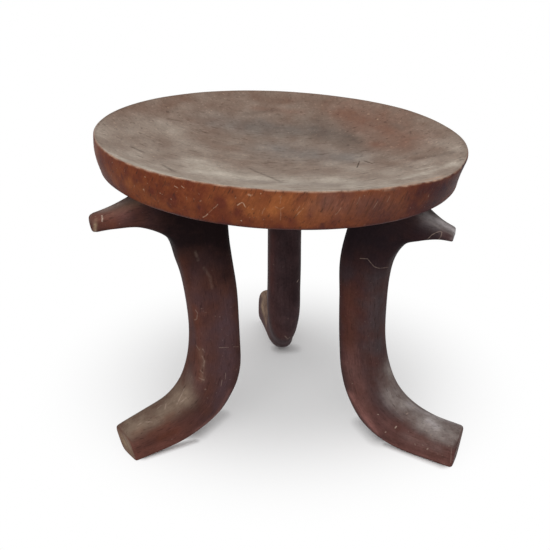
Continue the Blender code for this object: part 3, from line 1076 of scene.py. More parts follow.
@dataclass
class Leg:
    """One C-shaped leg, with its horn and its foot, as far as it departs from the other two."""

    node: str
    seed: int

    # The whole leg: where it stands, how it leans and how thick it is
    azimuth: float
    twist: float
    splay: float
    girth: float
    half_width: float
    throat: float
    shoulder: float
    spine_square: float

    # The horn
    horn_reach: float
    horn_rise: float
    horn_drop: float
    horn_square: float
    horn_edge: float
    horn_bare: float
    horn_skew: float
    horn_lean: float
    horn_arch: float

    # The heel and the foot
    heel_rise: float
    heel_taper: float
    heel_shift: float
    sole_rise: float
    instep: float
    foot_reach: float
    foot_height: float
    foot_undercut: float
    foot_square: float
    foot_edge: float
    face_worn: float
    toe_turn: float
    toe_skew: float

    dabs: tuple[Dab, ...] = ()
    scratches: tuple[Scratch, ...] = ()

    # What the legs share
    axis: tuple[float, float] = (0.0110, -0.0190)
    seat: Seat = field(default_factory=Seat)
    splay_height: float = 0.090
    heel_radius: float = 0.115
    toe_start: float = 0.150
    shoulder_swell: float = 1 / 16
    clearance: float = 0.0003
    girth_share: tuple[float, ...] = (0.0, 0.0, 0.0, 0.2, 0.8)
    carve: float = 0.00018
    carve_mm: float = 55.0

    # Places and strengths of the tints that follow the shape
    cloud_mm: float = 26.0
    cloud_seed: int = 40
    # Smoke and painted shade darken each leg towards the top, under the seat
    smoke_and_shade_span: Span = (0.155, 0.252)
    horn_span: Span = (0.030, 0.085)
    low_span: Span = (0.05, 0.15)
    foot_span: Span = (0.115, 0.160)
    dust_slope: Span = (0.10, 0.85)
    dust_high: float = 0.35
    dust_low: float = 0.80
    red_slope: Span = (-0.05, 0.45)
    red: float = 0.65
    dark: float = 0.40
    patchiness: float = 0.40
    face_patchiness: float = 0.30
    face_rim: float = 0.30

    # The mesh
    per_span: int = 22
    around: int = 120
    cap_rings: int = 8
    edge_rings: int = 5
    sharp_degrees: float = 40.0

    def stations(self) -> Array:
        """Pairs the C's outer and inner edges from the horn's tip to the foot's tip.

        Returns:
            Rows of outer radius and height, inner radius and height, half the width across the leg,
            and how square the section is outside and inside.
        """
        throat, horn, rise, drop = self.throat, self.horn_reach, self.horn_rise, self.horn_drop
        spread, square, arch = horn - throat, self.horn_square, self.horn_arch
        heel, sole, foot, wide = self.heel_rise, self.sole_rise, self.foot_reach, self.half_width
        spine, taper, toe = self.spine_square, self.heel_taper, self.foot_square
        swell = self.shoulder * self.shoulder_swell
        rows = np.array([
            # The horn, from its tip to its root
            (horn, 0.2515 + rise - drop, horn + self.horn_lean, 0.2645 + rise, 0.0115, square, square),
            (throat + 0.70 * spread, 0.2505 + rise - 0.75 * drop + arch,
             throat + 0.71 * spread, 0.2700 + rise, 0.0130, square, square),
            (throat + 0.36 * spread, 0.2470 + rise - 0.30 * drop + arch,
             throat + 0.32 * spread, 0.2810 + rise, 0.0155, square, square),
            # The shaft, from the throat under the seat to the heel
            (throat, 0.2350, 0.1160, 0.3000, 0.0180, 3.0, 3.0),
            (0.1225, 0.2130, 0.0745 + self.shoulder, 0.2960, wide, 3.0, spine),
            (0.1165, 0.1860, 0.0700 - swell, 0.2220, wide, 3.0, spine),
            (0.1140, 0.1500, 0.0663, 0.1650, wide, 3.0, spine),
            (0.1145, 0.1180, 0.0668, 0.1120, wide, 3.0, spine - 0.1),
            (0.1195, 0.0900, 0.0695, 0.0740, wide, 3.0, spine - 0.2),
            # The foot, from the heel to the toe
            (0.1310, 0.0660, 0.0785 + heel / 2, 0.0410 + (heel + sole) / 2,
             (1.0 + taper) / 2 * wide, 3.0, 2.3),
            (0.1500, 0.0500 + self.instep / 2, 0.0985 + heel, 0.0130 + heel + sole, taper * wide, 2.9, 2.2),
            (0.1770, 0.0415 + self.instep, 0.1380 + heel, sole - 0.0020,
             0.95 * (1.0 + taper) / 2 * wide, 2.8, 2.6),
            (foot, self.foot_height, foot - self.foot_undercut, -0.0020, 0.0175, toe, toe),
        ])
        share = np.ones(len(rows))
        share[:len(self.girth_share)] = self.girth_share
        girth = 1.0 + (self.girth - 1.0) * share[:, None]
        rows[:, :2] = rows[:, 2:4] + (rows[:, :2] - rows[:, 2:4]) * girth
        return rows

    def ring_plan(self, length: Array) -> tuple[Array, Array]:
        """Plans the rings: each end grows from a point over a flat face and then turns a rounded edge.

        Args:
            length: How far along the leg each station is.

        Returns:
            The station that each ring copies, and rows of how far a ring is drawn in along the leg, how
            far it is drawn in from its full section, and its share of that section.
        """
        between = np.flatnonzero((length > self.horn_edge) & (length < length[-1] - self.foot_edge))
        turn = np.radians(np.linspace(90.0, 0.0, self.edge_rings))
        face = np.linspace(0.0, 1.0, self.cap_rings, endpoint=False)
        sunk = np.concatenate([np.zeros(self.cap_rings), 1.0 - np.sin(turn)])
        inset = np.concatenate([np.ones(self.cap_rings), 1.0 - np.cos(turn)])
        share = np.concatenate([face, np.ones(self.edge_rings)])
        plain = np.zeros(len(between))
        ring_shape = np.stack([
            np.concatenate([self.horn_edge * sunk, plain, self.foot_edge * sunk[::-1]]),
            np.concatenate([self.horn_edge * inset, plain, self.foot_edge * inset[::-1]]),
            np.concatenate([share, plain + 1.0, share[::-1]]),
        ])
        end = np.zeros(len(sunk), dtype=int)
        return np.concatenate([end, between, end + len(length) - 1]), ring_shape

    def surface(self) -> tuple[Array, Array]:
        """Lofts superellipse sections along the C, and saws off its top and its sole.

        A section is |x|ⁿ + |y|ⁿ = 1 before it is scaled, n being its squareness.

        Returns:
            World points by ring and place around it, and fibre coordinates: across the leg, through it
            and along it.
        """
        rows = through(self.stations(), self.per_span)
        outer, inner, half_width, squareness = rows[:, :2], rows[:, 2:4], rows[:, 4], rows[:, 5:]
        middle = (outer + inner) / 2.0
        half_depth = (outer - inner) / 2.0
        length = np.concatenate([[0.0], np.cumsum(np.linalg.norm(np.diff(middle, axis=0), axis=1))])
        station, (sunk, inset, share) = self.ring_plan(length)

        # Draws the end rings in towards the leg's length, and shrinks them towards their middle
        ahead = middle[[self.per_span, -1 - self.per_span]] - middle[[0, -1]]
        ahead /= np.linalg.norm(ahead, axis=1, keepdims=True)
        way = np.where((station < len(rows) // 2)[:, None], ahead[0], ahead[1])
        middle = middle[station] + way * sunk[:, None]
        half_depth, half_width = half_depth[station], half_width[station]
        depth_size = np.linalg.norm(half_depth, axis=1)
        depth_scale = share * (1.0 - inset / depth_size)
        width_scale = share * (1.0 - inset / half_width)

        # Carries the sections along the C
        turn = 2.0 * math.pi * (np.arange(self.around) + 0.5) / self.around
        square = np.where(np.cos(turn) > 0.0, squareness[station, :1], squareness[station, 1:])
        reach = (np.abs(np.cos(turn)) ** square + np.abs(np.sin(turn)) ** square) ** (-1.0 / square)
        along = np.cos(turn) * reach * depth_scale[:, None]
        across = np.sin(turn) * reach * width_scale[:, None]
        radius = middle[:, :1] + half_depth[:, :1] * along
        height = middle[:, 1:] + half_depth[:, 1:] * along
        side = half_width[:, None] * across
        points = self.place(radius, side, height)
        cut = self.carve * ripple(points, self.carve_mm, self.seed)
        points = points + grid_normals(points) * cut[..., None]
        distance = np.repeat(length[station][:, None], self.around, axis=1)
        fibre = np.stack([side, depth_size[:, None] * along, distance], axis=-1)
        return self.sawn(points), fibre

    def place(self, radius: Array, side: Array, height: Array) -> Array:
        """Turns the C's own coordinates into world points, with the leg's twist, splay and lean.

        Args:
            radius: The distance from the legs' common axis.
            side: The distance across the leg.
            height: The height before the stool's lean.

        Returns:
            World points.
        """
        underside = self.seat.centre[2] - self.seat.depth
        azimuth = np.radians(self.azimuth + self.twist * (1.0 - height / underside))
        reach = radius + self.splay * (height - self.splay_height)
        low = np.clip(1.0 - height / self.splay_height, 0.0, 1.0)
        toe = smooth(radius, self.toe_start, self.foot_reach) * (low > 0.0)
        horn = smooth(radius, self.throat, self.horn_reach) * (low <= 0.0)
        reach = reach + (self.toe_skew * toe + self.horn_skew * horn) * side / self.half_width
        past_heel = np.clip(radius / self.heel_radius - 1.0, 0.0, None)
        side = side - self.heel_shift * low**2 + self.toe_turn * low * past_heel**2
        x = self.axis[0] + reach * np.cos(azimuth) - side * np.sin(azimuth)
        y = self.axis[1] + reach * np.sin(azimuth) + side * np.cos(azimuth)
        stretch = 1.0 - math.tan(self.seat.lean) * (x - self.seat.centre[0]) / underside
        return np.stack([x, y, height * stretch], axis=-1)

    def sawn(self, points: Array) -> Array:
        """Presses what lies above the seat's underside, or below the floor, flat onto it.

        Args:
            points: The leg's points.

        Returns:
            The points of the sawn leg.
        """
        under = self.seat.centre[2] - (self.seat.depth + self.clearance) / math.cos(self.seat.lean)
        ceiling = under - math.tan(self.seat.lean) * (points[..., 0] - self.seat.centre[0])
        height = np.clip(points[..., 2], 0.0, ceiling)
        return np.concatenate([points[..., :2], height[..., None]], axis=-1)

    def masks(self, points: Array, fibre: Array) -> dict[Tint, Array]:
        """Lays the tints that follow the shape.

        Args:
            points: The leg's points.
            fibre: Its fibre coordinates.

        Returns:
            The strength of each tint at each point.
        """
        upward = grid_normals(points)[..., 2]
        height = points[..., 2]
        reach = np.hypot(points[..., 0] - self.axis[0], points[..., 1] - self.axis[1])
        low = 1.0 - smooth(height, *self.low_span)
        foot = low * smooth(reach, *self.foot_span)
        horn = 1.0 - smooth(fibre[..., 2], *self.horn_span)
        cloud = 0.5 + 0.5 * np.clip(ripple(points, self.cloud_mm, self.seed + self.cloud_seed), -1.0, 1.0)
        patchy = 1.0 - self.patchiness * (1.0 - cloud)
        face = np.zeros(points.shape[:2])
        face[-self.cap_rings - 1:] = np.linspace(self.face_rim, 1.0, self.cap_rings + 1)[:, None]
        dusty = self.dust_high + (self.dust_low - self.dust_high) * low
        sideways = 1.0 - smooth(upward, *self.red_slope)
        return {
            # Smoke and painted shade: darker towards the top, under the seat, and less on the horn
            Tint.SOOT_AND_SHADE: smooth(height, *self.smoke_and_shade_span) * (1.0 - self.horn_bare * horn),
            Tint.DUST: smooth(upward, *self.dust_slope) * dusty * patchy,
            Tint.RED: self.red * foot * sideways * patchy * (1.0 - face),
            Tint.DARK: self.dark * (1.0 - foot) * cloud,
            Tint.WORN_AND_HIGHLIGHT: self.face_worn * face * (1.0 - self.face_patchiness * (1.0 - cloud)),
        }

    def build(self, view: View, finish: CarvedWood) -> bpy.types.Object:
        """Builds and dresses the leg.

        Args:
            view: The photograph's view, for what is placed by its pixels.
            finish: The wood, whose material is named for this leg.

        Returns:
            The leg's piece.
        """
        points, fibre = self.surface()
        skin = Skin(points, grid_normals(points), view)
        masks = skin.with_dabs(self.masks(points, fibre), self.dabs)
        piece = add_piece(f"carved_{self.node}", points, fibre, masks, self.sharp_degrees)
        piece.data.materials.append(finish.material(skin.strokes(self.scratches)))
        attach(piece, BODY)
        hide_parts(self.node)
        return piece


@dataclass(frozen=True)
class Lamp:
    """A square soft lamp: its name, where it hangs, its side and its power."""

    name: str
    place: Triple
    size: float
    watts: float


@dataclass(frozen=True)
class Contact:
    """A strip of floor beside a foot, where the shadow shows in full: its line and how wide it is."""

    start: Triple
    end: Triple
    width: float


@dataclass(frozen=True)
class Studio:
    """A pale floor, a white surround and soft lamps at a plain level."""

    floor_half: float = 8.0
    floor_colour: str = "#dcdcdc"
    shadow_middle: Triple = (0.0, 0.06, 0.0)
    shadow_core: float = 0.08
    shadow_reach: float = 0.31
    shadow_lift: float = 0.24
    contacts: tuple[Contact, ...] = (
        # The heels: left, right and rear
        Contact((-0.094, -0.076, 0.0), (-0.068, -0.038, 0.0), 0.036),
        Contact((0.110, -0.084, 0.0), (0.094, -0.055, 0.0), 0.040),
        Contact((0.002, 0.121, 0.0), (0.014, 0.121, 0.0), 0.050),
        # The front soles: left and right
        Contact((-0.146, -0.122, 0.0), (-0.094, -0.092, 0.0), 0.012),
        Contact((0.114, -0.099, 0.0), (0.170, -0.137, 0.0), 0.012),
    )
    surround: float = 0.50
    lamp_target: Triple = (0.0, 0.0, 0.2)
    lamps: tuple[Lamp, ...] = (
        Lamp("overhead", (-0.1, -0.55, 2.3), 2.6, 21.0),
        Lamp("front_fill", (-0.5, -2.7, 1.3), 2.8, 40.0),
    )

    def build(self) -> None:
        """Sets up the floor, the surround, the lamps and the view transform."""
        bpy.context.scene.view_settings.view_transform = "Standard"
        self.add_floor()
        self.add_surround()
        for lamp in self.lamps:
            self.add_lamp(lamp)

    def shown(self, tree: Tree) -> Socket:
        """Tells rays that show the background, directly or in a reflection, from those that light things.

        Args:
            tree: The node tree.

        Returns:
            1 for a ray that shows it and 0 for one that lights.
        """
        path = add_node(tree, "ShaderNodeLightPath").outputs
        shown = path["Is Camera Ray"]
        for kind in ("Is Glossy Ray", "Is Transmission Ray"):
            shown = add_node(tree, "ShaderNodeMath", {0: shown, 1: path[kind]},
                             operation="MAXIMUM").outputs[0]
        return shown

    def whiteness(self, tree: Tree) -> Socket:
        """Works out how white the floor shows: less under the stool, and not at all where a foot stands.

        Args:
            tree: The node tree.

        Returns:
            The share of plain white.
        """
        place = add_node(tree, "ShaderNodeTexCoord").outputs["Object"]
        reach = add_node(tree, "ShaderNodeVectorMath", {0: place, 1: self.shadow_middle},
                         operation="DISTANCE").outputs["Value"]
        white = add_node(tree, "ShaderNodeMapRange", {
            "Value": reach, "From Min": self.shadow_core, "From Max": self.shadow_reach,
            "To Min": self.shadow_lift, "To Max": 1.0,
        }, interpolation_type="SMOOTHSTEP").outputs["Result"]
        for contact in self.contacts:
            near = add_node(tree, "ShaderNodeGroup", {
                "Place": place, "Start": contact.start, "End": contact.end, "Normal": (0.0, 0.0, 1.0),
                "Width": contact.width, "Strength": 1.0,
            }, node_tree=stroke_group()).outputs["Mask"]
            far = add_node(tree, "ShaderNodeMath", {0: 1.0, 1: near}, operation="SUBTRACT").outputs[0]
            white = add_node(tree, "ShaderNodeMath", {0: white, 1: far}, operation="MINIMUM").outputs[0]
        return white

    def add_floor(self) -> None:
        """Adds the floor: matt, and shown as plain white away from the stool and its shadow."""
        half = self.floor_half
        corners = [(-half, -half, 0.0), (half, -half, 0.0), (half, half, 0.0), (-half, half, 0.0)]
        mesh = bpy.data.meshes.new("studio_floor")
        mesh.from_pydata(corners, [], [(0, 1, 2, 3)])
        material = bpy.data.materials.new("matt_white_paint")
        material.use_nodes = True
        tree = material.node_tree
        tree.nodes.clear()
        shown = self.shown(tree)
        paint = add_node(tree, "ShaderNodeMix", {0: shown, 6: linear(self.floor_colour), 7: WHITE},
                         data_type="RGBA").outputs[2]
        matt = add_node(tree, "ShaderNodeBsdfDiffuse", {"Color": paint}).outputs["BSDF"]
        glow = add_node(tree, "ShaderNodeEmission", {"Color": WHITE}).outputs["Emission"]
        share = add_node(tree, "ShaderNodeMath", {0: shown, 1: self.whiteness(tree)},
                         operation="MULTIPLY").outputs[0]
        mixed = add_node(tree, "ShaderNodeMixShader", {0: share, 1: matt, 2: glow}).outputs["Shader"]
        add_node(tree, "ShaderNodeOutputMaterial", {"Surface": mixed})
        mesh.materials.append(material)
        floor = bpy.data.objects.new("studio_floor", mesh)
        bpy.context.scene.collection.objects.link(floor)

    def add_surround(self) -> None:
        """Adds the white surround, which lights the object less brightly than it shows."""
        world = bpy.data.worlds.new("white_surround")
        world.use_nodes = True
        tree = world.node_tree
        tree.nodes.clear()
        level = add_node(tree, "ShaderNodeMapRange", {
            "Value": self.shown(tree), "From Max": 1.0, "To Min": self.surround, "To Max": 1.0,
        }).outputs["Result"]
        light = add_node(tree, "ShaderNodeBackground", {"Color": WHITE, "Strength": level})
        add_node(tree, "ShaderNodeOutputWorld", {"Surface": light.outputs["Background"]})
        bpy.context.scene.world = world

    def add_lamp(self, lamp: Lamp) -> None:
        """Adds a square soft lamp that faces the stool.

        Args:
            lamp: The lamp.
        """
        data = bpy.data.lights.new(lamp.name, "AREA")
        data.shape = "SQUARE"
        data.size = lamp.size
        data.energy = lamp.watts
        hung = bpy.data.objects.new(lamp.name, data)
        hung.location = lamp.place
        across, away, down = np.array(self.lamp_target) - np.array(lamp.place)
        hung.rotation_euler = (math.atan2(math.hypot(across, away), -down), 0.0, math.atan2(-across, away))
        bpy.context.scene.collection.objects.link(hung)


# The seat: brown hardwood, dusty grey in the dish and satin from hands on its side
SEAT_WOOD = CarvedWood(
    name="rubbed_hardwood_seat",
    heart="#764027",
    shade="#5f2e1f",
    tints=(
        (Tint.AMBER, "#8e5430", 0.8),
        (Tint.RUST, "#5c2e22", 0.9),
        (Tint.DUST, "#866354", 0.5),
        # Dark spots, painted shade towards the underside, and darker towards both ends of the side
        (Tint.SOOT_AND_SHADE, "#2f1e26", 0.35),
        (Tint.DISH, "#857468", 0.05),
        (Tint.COOL, "#7a736e", 0.3),
        (Tint.BROWN, "#71584b", 0.40),
        # Paler along the front of the dish, and a painted highlight along the rim at the right
        (Tint.PALE, "#b9aea1", 0.30),
        (Tint.RED, "#775040", 0.35),
        # Darker wood, and painted shade in the middle of the dish
        (Tint.DARK, "#594e47", 0.3),
        # Wear, and a painted highlight along the front of the lip
        (Tint.WORN_AND_HIGHLIGHT, "#ab8b76", 0.4),
    ),
    pale_mark="#c3a68c",
    dark_mark="#38271f",
    grain_contrast=0.20,
    mottle_contrast=0.15,
    fine_contrast=0.24,
    rub_contrast=0.42,
    pore_strength=0.62,
    dusty_pore_strength=0.42,
    fleck_strength=0.5,
    roughness=0.45,
    dusty_roughness=0.62,
    gloss=0.025,
    spread=(1.0, 2.0, 1.0),
)

# The left leg: the same wood, darkened by smoke and by painted shade under the seat, red where it is rubbed
# and dull where dust lies on it
LEG_WOOD = CarvedWood(
    name="smoked_hardwood_left_leg",
    heart="#573831",
    shade="#472e2b",
    tints=(
        (Tint.DARK, "#533f42", 0.35),
        (Tint.RED, "#72483f", 0.4),
        # Smoke, and painted shade under the seat
        (Tint.SOOT_AND_SHADE, "#1c1314", 0.15),
        (Tint.DUST, "#7e6c5e", 0.5),
        (Tint.PALE, "#9a8882", 0.5),
        (Tint.RUST, "#663a2b", 0.3),
        (Tint.WORN_AND_HIGHLIGHT, "#9a846b", 0.3),
        # Painted bounce light from the floor, and rubbed wood on the horn
        (Tint.AMBER, "#8f625a", 0.3),
    ),
    pale_mark="#b39d8e",
    dark_mark="#241a18",
    grain_contrast=0.16,
    mottle_contrast=0.20,
    fine_contrast=0.18,
    rub_contrast=0.30,
    pore_strength=0.45,
    dusty_pore_strength=0.45,
    fleck_strength=0.2,
    roughness=0.46,
    dusty_roughness=0.66,
    gloss=0.012,
)

# The right leg is greyer and dustier than the left, and the rear one is darker
LEG_WOODS = (
    LEG_WOOD,
    replace(LEG_WOOD, name="smoked_hardwood_right_leg", heart="#4d302b", shade="#40292a", tints=(
        (Tint.DARK, "#463c3d", 0.35),
        # Redder wood, and painted bounce light along the lower left edges
        (Tint.RED, "#6e4c46", 0.4),
        # Smoke, and painted shade under the seat
        (Tint.SOOT_AND_SHADE, "#231a1d", 0.15),
        (Tint.DUST, "#8f8580", 0.5),
        # Pale, dry wood, and painted light on the horn's top facet
        (Tint.PALE, "#b3abab", 0.4),
        (Tint.RUST, "#5c372b", 0.3),
        (Tint.WORN_AND_HIGHLIGHT, "#8a7a70", 0.3),
        # Painted bounce light from the floor, and rubbed wood on the horn
        (Tint.AMBER, "#93655e", 0.3),
    ), grain_contrast=0.22, mottle_contrast=0.28, fine_contrast=0.26),
    replace(LEG_WOOD, name="smoked_hardwood_rear_leg", heart="#564142", shade="#48393b", tints=(
        (Tint.DARK, "#2c2023", 0.35),
        (Tint.RED, "#593632", 0.4),
        # Smoke, and painted shade under the seat
        (Tint.SOOT_AND_SHADE, "#191113", 0.15),
        (Tint.DUST, "#a58b76", 0.5),
        # Wear, with a painted highlight along an edge low down
        (Tint.WORN_AND_HIGHLIGHT, "#6a504a", 0.3),
    ), grain_contrast=0.26, mottle_contrast=0.34, fine_contrast=0.32),
)

# Stains and scratches, placed where they show in the photograph's frame
SEAT_STAINS = (
    # Painted shade on darker wood in the middle of the dish, where it is deepest, and darker lines along its
    # edges
    Dab(Tint.DARK, (256, 128), (328, 134), 24.0, 0.40),
    Dab(Tint.DARK, (316, 122), (348, 142), 19.0, 0.34),
    Dab(Tint.DARK, (346, 143), (364, 150), 13.0, 0.26),
    Dab(Tint.DARK, (246, 114), (276, 110), 4.0, 0.40),
    Dab(Tint.DARK, (415, 159), (452, 152), 4.5, 0.28),
    Dab(Tint.DARK, (348, 135), (358, 142), 7.0, 0.40),
    Dab(Tint.DARK, (388, 122), (402, 128), 6.0, 0.25),
    # Cooler grey across the middle and the front of the dish
    Dab(Tint.COOL, (220, 122), (262, 128), 26.0, 0.60),
    Dab(Tint.COOL, (262, 126), (330, 132), 22.0, 0.45),
    Dab(Tint.COOL, (276, 150), (345, 158), 27.0, 0.65),
    Dab(Tint.COOL, (240, 180), (360, 184), 14.0, 0.40),
    # Browner at the back, on the left and towards the right rim
    Dab(Tint.BROWN, (236, 96), (350, 101), 13.0, 0.60),
    Dab(Tint.BROWN, (156, 106), (168, 110), 14.0, 0.45),
    Dab(Tint.BROWN, (178, 118), (212, 132), 16.0, 0.30),
    Dab(Tint.BROWN, (203, 140), (226, 148), 14.0, 0.35),
    Dab(Tint.BROWN, (396, 150), (442, 147), 13.0, 0.30),
    Dab(Tint.BROWN, (357, 166), (420, 158), 12.0, 0.52),
    Dab(Tint.BROWN, (120, 112), (190, 100), 14.0, 0.50),
    # Redder wood at the back and on the right
    Dab(Tint.RED, (346, 110), (392, 118), 24.0, 0.46),
    Dab(Tint.RED, (362, 124), (404, 140), 32.0, 0.52),
    Dab(Tint.RED, (372, 146), (402, 146), 18.0, 0.28),
    Dab(Tint.RED, (256, 108), (300, 112), 8.0, 0.30),
    Dab(Tint.RED, (371, 143), (380, 144), 8.0, 0.22),
    # Paler along the front and on the left, and a painted highlight along the rim at the right
    Dab(Tint.PALE, (198, 162), (222, 173), 18.0, 0.66),
    Dab(Tint.PALE, (200, 172), (340, 180), 16.0, 0.55),
    Dab(Tint.PALE, (104, 152), (180, 179), 6.5, 0.55),
    Dab(Tint.PALE, (108, 132), (158, 126), 17.0, 0.20),
    Dab(Tint.PALE, (162, 122), (196, 148), 14.0, 0.26),
    Dab(Tint.PALE, (332, 163), (356, 168), 11.0, 0.28),
    Dab(Tint.PALE, (404, 178), (452, 164), 6.0, 0.55),
    Dab(Tint.PALE, (430, 140), (456, 148), 9.0, 0.25),
    Dab(Tint.PALE, (417, 170), (434, 166), 3.0, 0.50),
    # Wear on the lip at the front right, with a painted highlight along it
    Dab(Tint.WORN_AND_HIGHLIGHT, (385, 188), (444, 176), 3.0, 0.50),
    # Lighter wood in the middle and at the left of the side
    Dab(Tint.AMBER, (246, 203), (302, 210), 17.0, 0.85),
    Dab(Tint.AMBER, (128, 182), (150, 194), 8.0, 0.5),
    # A duller stretch of the side
    Dab(Tint.DUST, (322, 204), (395, 204), 17.0, 0.28),
    # Darker towards both ends of the side
    Dab(Tint.SOOT_AND_SHADE, (437, 201), (464, 166), 23.0, 0.85),
    Dab(Tint.SOOT_AND_SHADE, (370, 214), (420, 206), 16.0, 0.35),
    Dab(Tint.SOOT_AND_SHADE, (420, 191), (462, 172), 8.0, 0.50),
    Dab(Tint.SOOT_AND_SHADE, (102, 170), (112, 188), 14.0, 0.35),
)
SEAT_SCRATCHES = (
    # Dark cuts and dents in the dish
    Scratch(((250, 168.5), (257, 172), (270, 177), (281.5, 182)), 3.2, 0.45, False),
    Scratch(((132, 147), (143, 152)), 4.2, 0.55, False),
    Scratch(((163, 165), (175, 172)), 4.0, 0.55, False),
    Scratch(((197, 130), (207, 133)), 4.0, 0.42, False),
    Scratch(((168, 119), (181, 121)), 4.0, 0.42, False),
    Scratch(((359.5, 161), (357, 167.5)), 1.2, 0.9, False),
    Scratch(((364.7, 161), (372.5, 163.6)), 1.6, 0.8, False),
    # Fine pale lines on the side
    Scratch(((237.5, 205.2), (239.8, 203.6), (241.8, 202.5), (243.4, 203.2), (245.3, 207.0)), 0.7, 0.75),
    Scratch(((203, 217.2), (205.4, 216.2), (207.8, 213.9)), 0.7, 0.60),
    Scratch(((209, 212.6), (212.4, 209.4)), 0.5, 0.22),
    Scratch(((213.3, 208.3), (215.6, 206.9), (217.8, 204.4)), 0.6, 0.38),
    Scratch(((248.4, 194.6), (250.6, 195.4)), 1.5, 0.35),
    Scratch(((280.5, 208.8), (280.9, 214.5), (280.3, 220.0)), 0.6, 0.26),
    Scratch(((275.5, 206.7), (280.5, 209.4), (283.9, 207.2)), 0.6, 0.26),
    Scratch(((281.4, 196.0), (280.0, 203.5)), 0.6, 0.16),
    Scratch(((262, 214), (263.2, 210.5), (265, 208)), 0.6, 0.20),
    Scratch(((303.3, 208.3), (299, 212.6), (296, 216)), 0.7, 0.28),
    Scratch(((300, 206), (296.7, 210.5)), 0.6, 0.18),
    Scratch(((341, 207.8), (338.6, 211.6), (335.5, 214.4)), 0.7, 0.22),
    # Dark slanted strokes on the side
    Scratch(((374.4, 199), (366.7, 212)), 1.8, 0.45, False),
    Scratch(((369, 206), (364.5, 217)), 1.8, 0.35, False),
    Scratch(((325.5, 197.8), (322, 212)), 1.6, 0.40, False),
    Scratch(((318.5, 196), (316.5, 205)), 1.5, 0.35, False),
    Scratch(((354, 200), (347.5, 214)), 1.6, 0.42, False),
    Scratch(((333, 198), (329, 209)), 1.5, 0.36, False),
    Scratch(((342, 200), (337, 206)), 1.3, 0.32, False),
    Scratch(((385, 197), (379, 209)), 1.7, 0.40, False),
    Scratch(((394, 199), (388, 210)), 1.5, 0.36, False),
    Scratch(((404, 195), (399, 204)), 1.5, 0.34, False),
    # Pale slanted strokes on the side
    Scratch(((360, 197), (357, 204)), 0.7, 0.24),
    Scratch(((378, 201), (373, 209)), 0.7, 0.22),
    Scratch(((390, 196), (387, 202)), 0.6, 0.22),
    # Pale specks near the lip and at the back of the dish
    Scratch(((174.5, 186), (178, 188)), 0.6, 0.5),
    Scratch(((181.5, 186), (184, 188)), 0.6, 0.5),
    Scratch(((368, 114), (369, 114)), 1.6, 0.9),
)
LEFT_LEG_STAINS = (
    # Redder wood along the foot's side
    Dab(Tint.RED, (140, 456), (190, 437), 7.0, 0.50),
    # Painted shade, with smoke, under the seat and under the horn, and darker along the foot
    Dab(Tint.SOOT_AND_SHADE, (138, 449), (172, 432), 4.5, 0.30),
    Dab(Tint.SOOT_AND_SHADE, (180, 420), (196, 408), 7.0, 0.26),
    Dab(Tint.SOOT_AND_SHADE, (218, 236), (227, 275), 11.0, 0.35),
    Dab(Tint.SOOT_AND_SHADE, (204, 222), (226, 242), 12.0, 0.50),
    Dab(Tint.SOOT_AND_SHADE, (104, 229), (150, 227), 2.5, 0.35),
    # Rust-brown wood on the horn, down the shaft and on the foot
    Dab(Tint.RUST, (160, 438), (176, 431), 5.0, 0.45),
    Dab(Tint.RUST, (182, 262), (190, 320), 8.0, 0.24),
    Dab(Tint.RUST, (194, 308), (200, 378), 5.0, 0.45),
    Dab(Tint.RUST, (96, 216), (112, 224), 8.0, 0.62),
    Dab(Tint.RUST, (112, 212), (134, 206), 7.0, 0.32),
    Dab(Tint.RUST, (134, 434), (142, 430), 3.5, 0.24),
    Dab(Tint.RUST, (166, 418), (173, 414), 4.0, 0.26),
    Dab(Tint.RUST, (150, 434), (168, 424), 4.5, 0.30),
    # Painted bounce light from the floor round the heel, and rubbed wood on the horn
    Dab(Tint.AMBER, (197, 430), (218, 413), 5.5, 0.45),
    Dab(Tint.AMBER, (220, 409), (229, 392), 5.0, 0.30),
    Dab(Tint.AMBER, (98, 217), (124, 214), 6.0, 0.22),
    # Dust on the foot, on the horn and in the shaft's scars
    Dab(Tint.DUST, (130, 428), (184, 398), 12.0, 0.70),
    Dab(Tint.DUST, (108, 209), (135, 200), 5.0, 0.40),
    Dab(Tint.DUST, (200, 350), (203, 380), 3.5, 0.28),
    Dab(Tint.DUST, (204, 361), (203, 368), 1.6, 0.35),
    Dab(Tint.DUST, (201, 375), (203, 379), 1.8, 0.30),
    # Pale, dry wood on the horn and at the toe
    Dab(Tint.PALE, (104, 211), (130, 198), 7.0, 0.32),
    Dab(Tint.PALE, (124, 436), (129, 446), 3.0, 0.40),
    # Darker on the shaft's inner side
    Dab(Tint.DARK, (226, 320), (224, 400), 14.0, 0.60),
    # The horn's chipped end
    Dab(Tint.WORN_AND_HIGHLIGHT, (95.8, 219), (95.4, 225), 1.5, 0.30),
    Dab(Tint.WORN_AND_HIGHLIGHT, (95.2, 225), (94.8, 231), 1.6, 0.60),
)
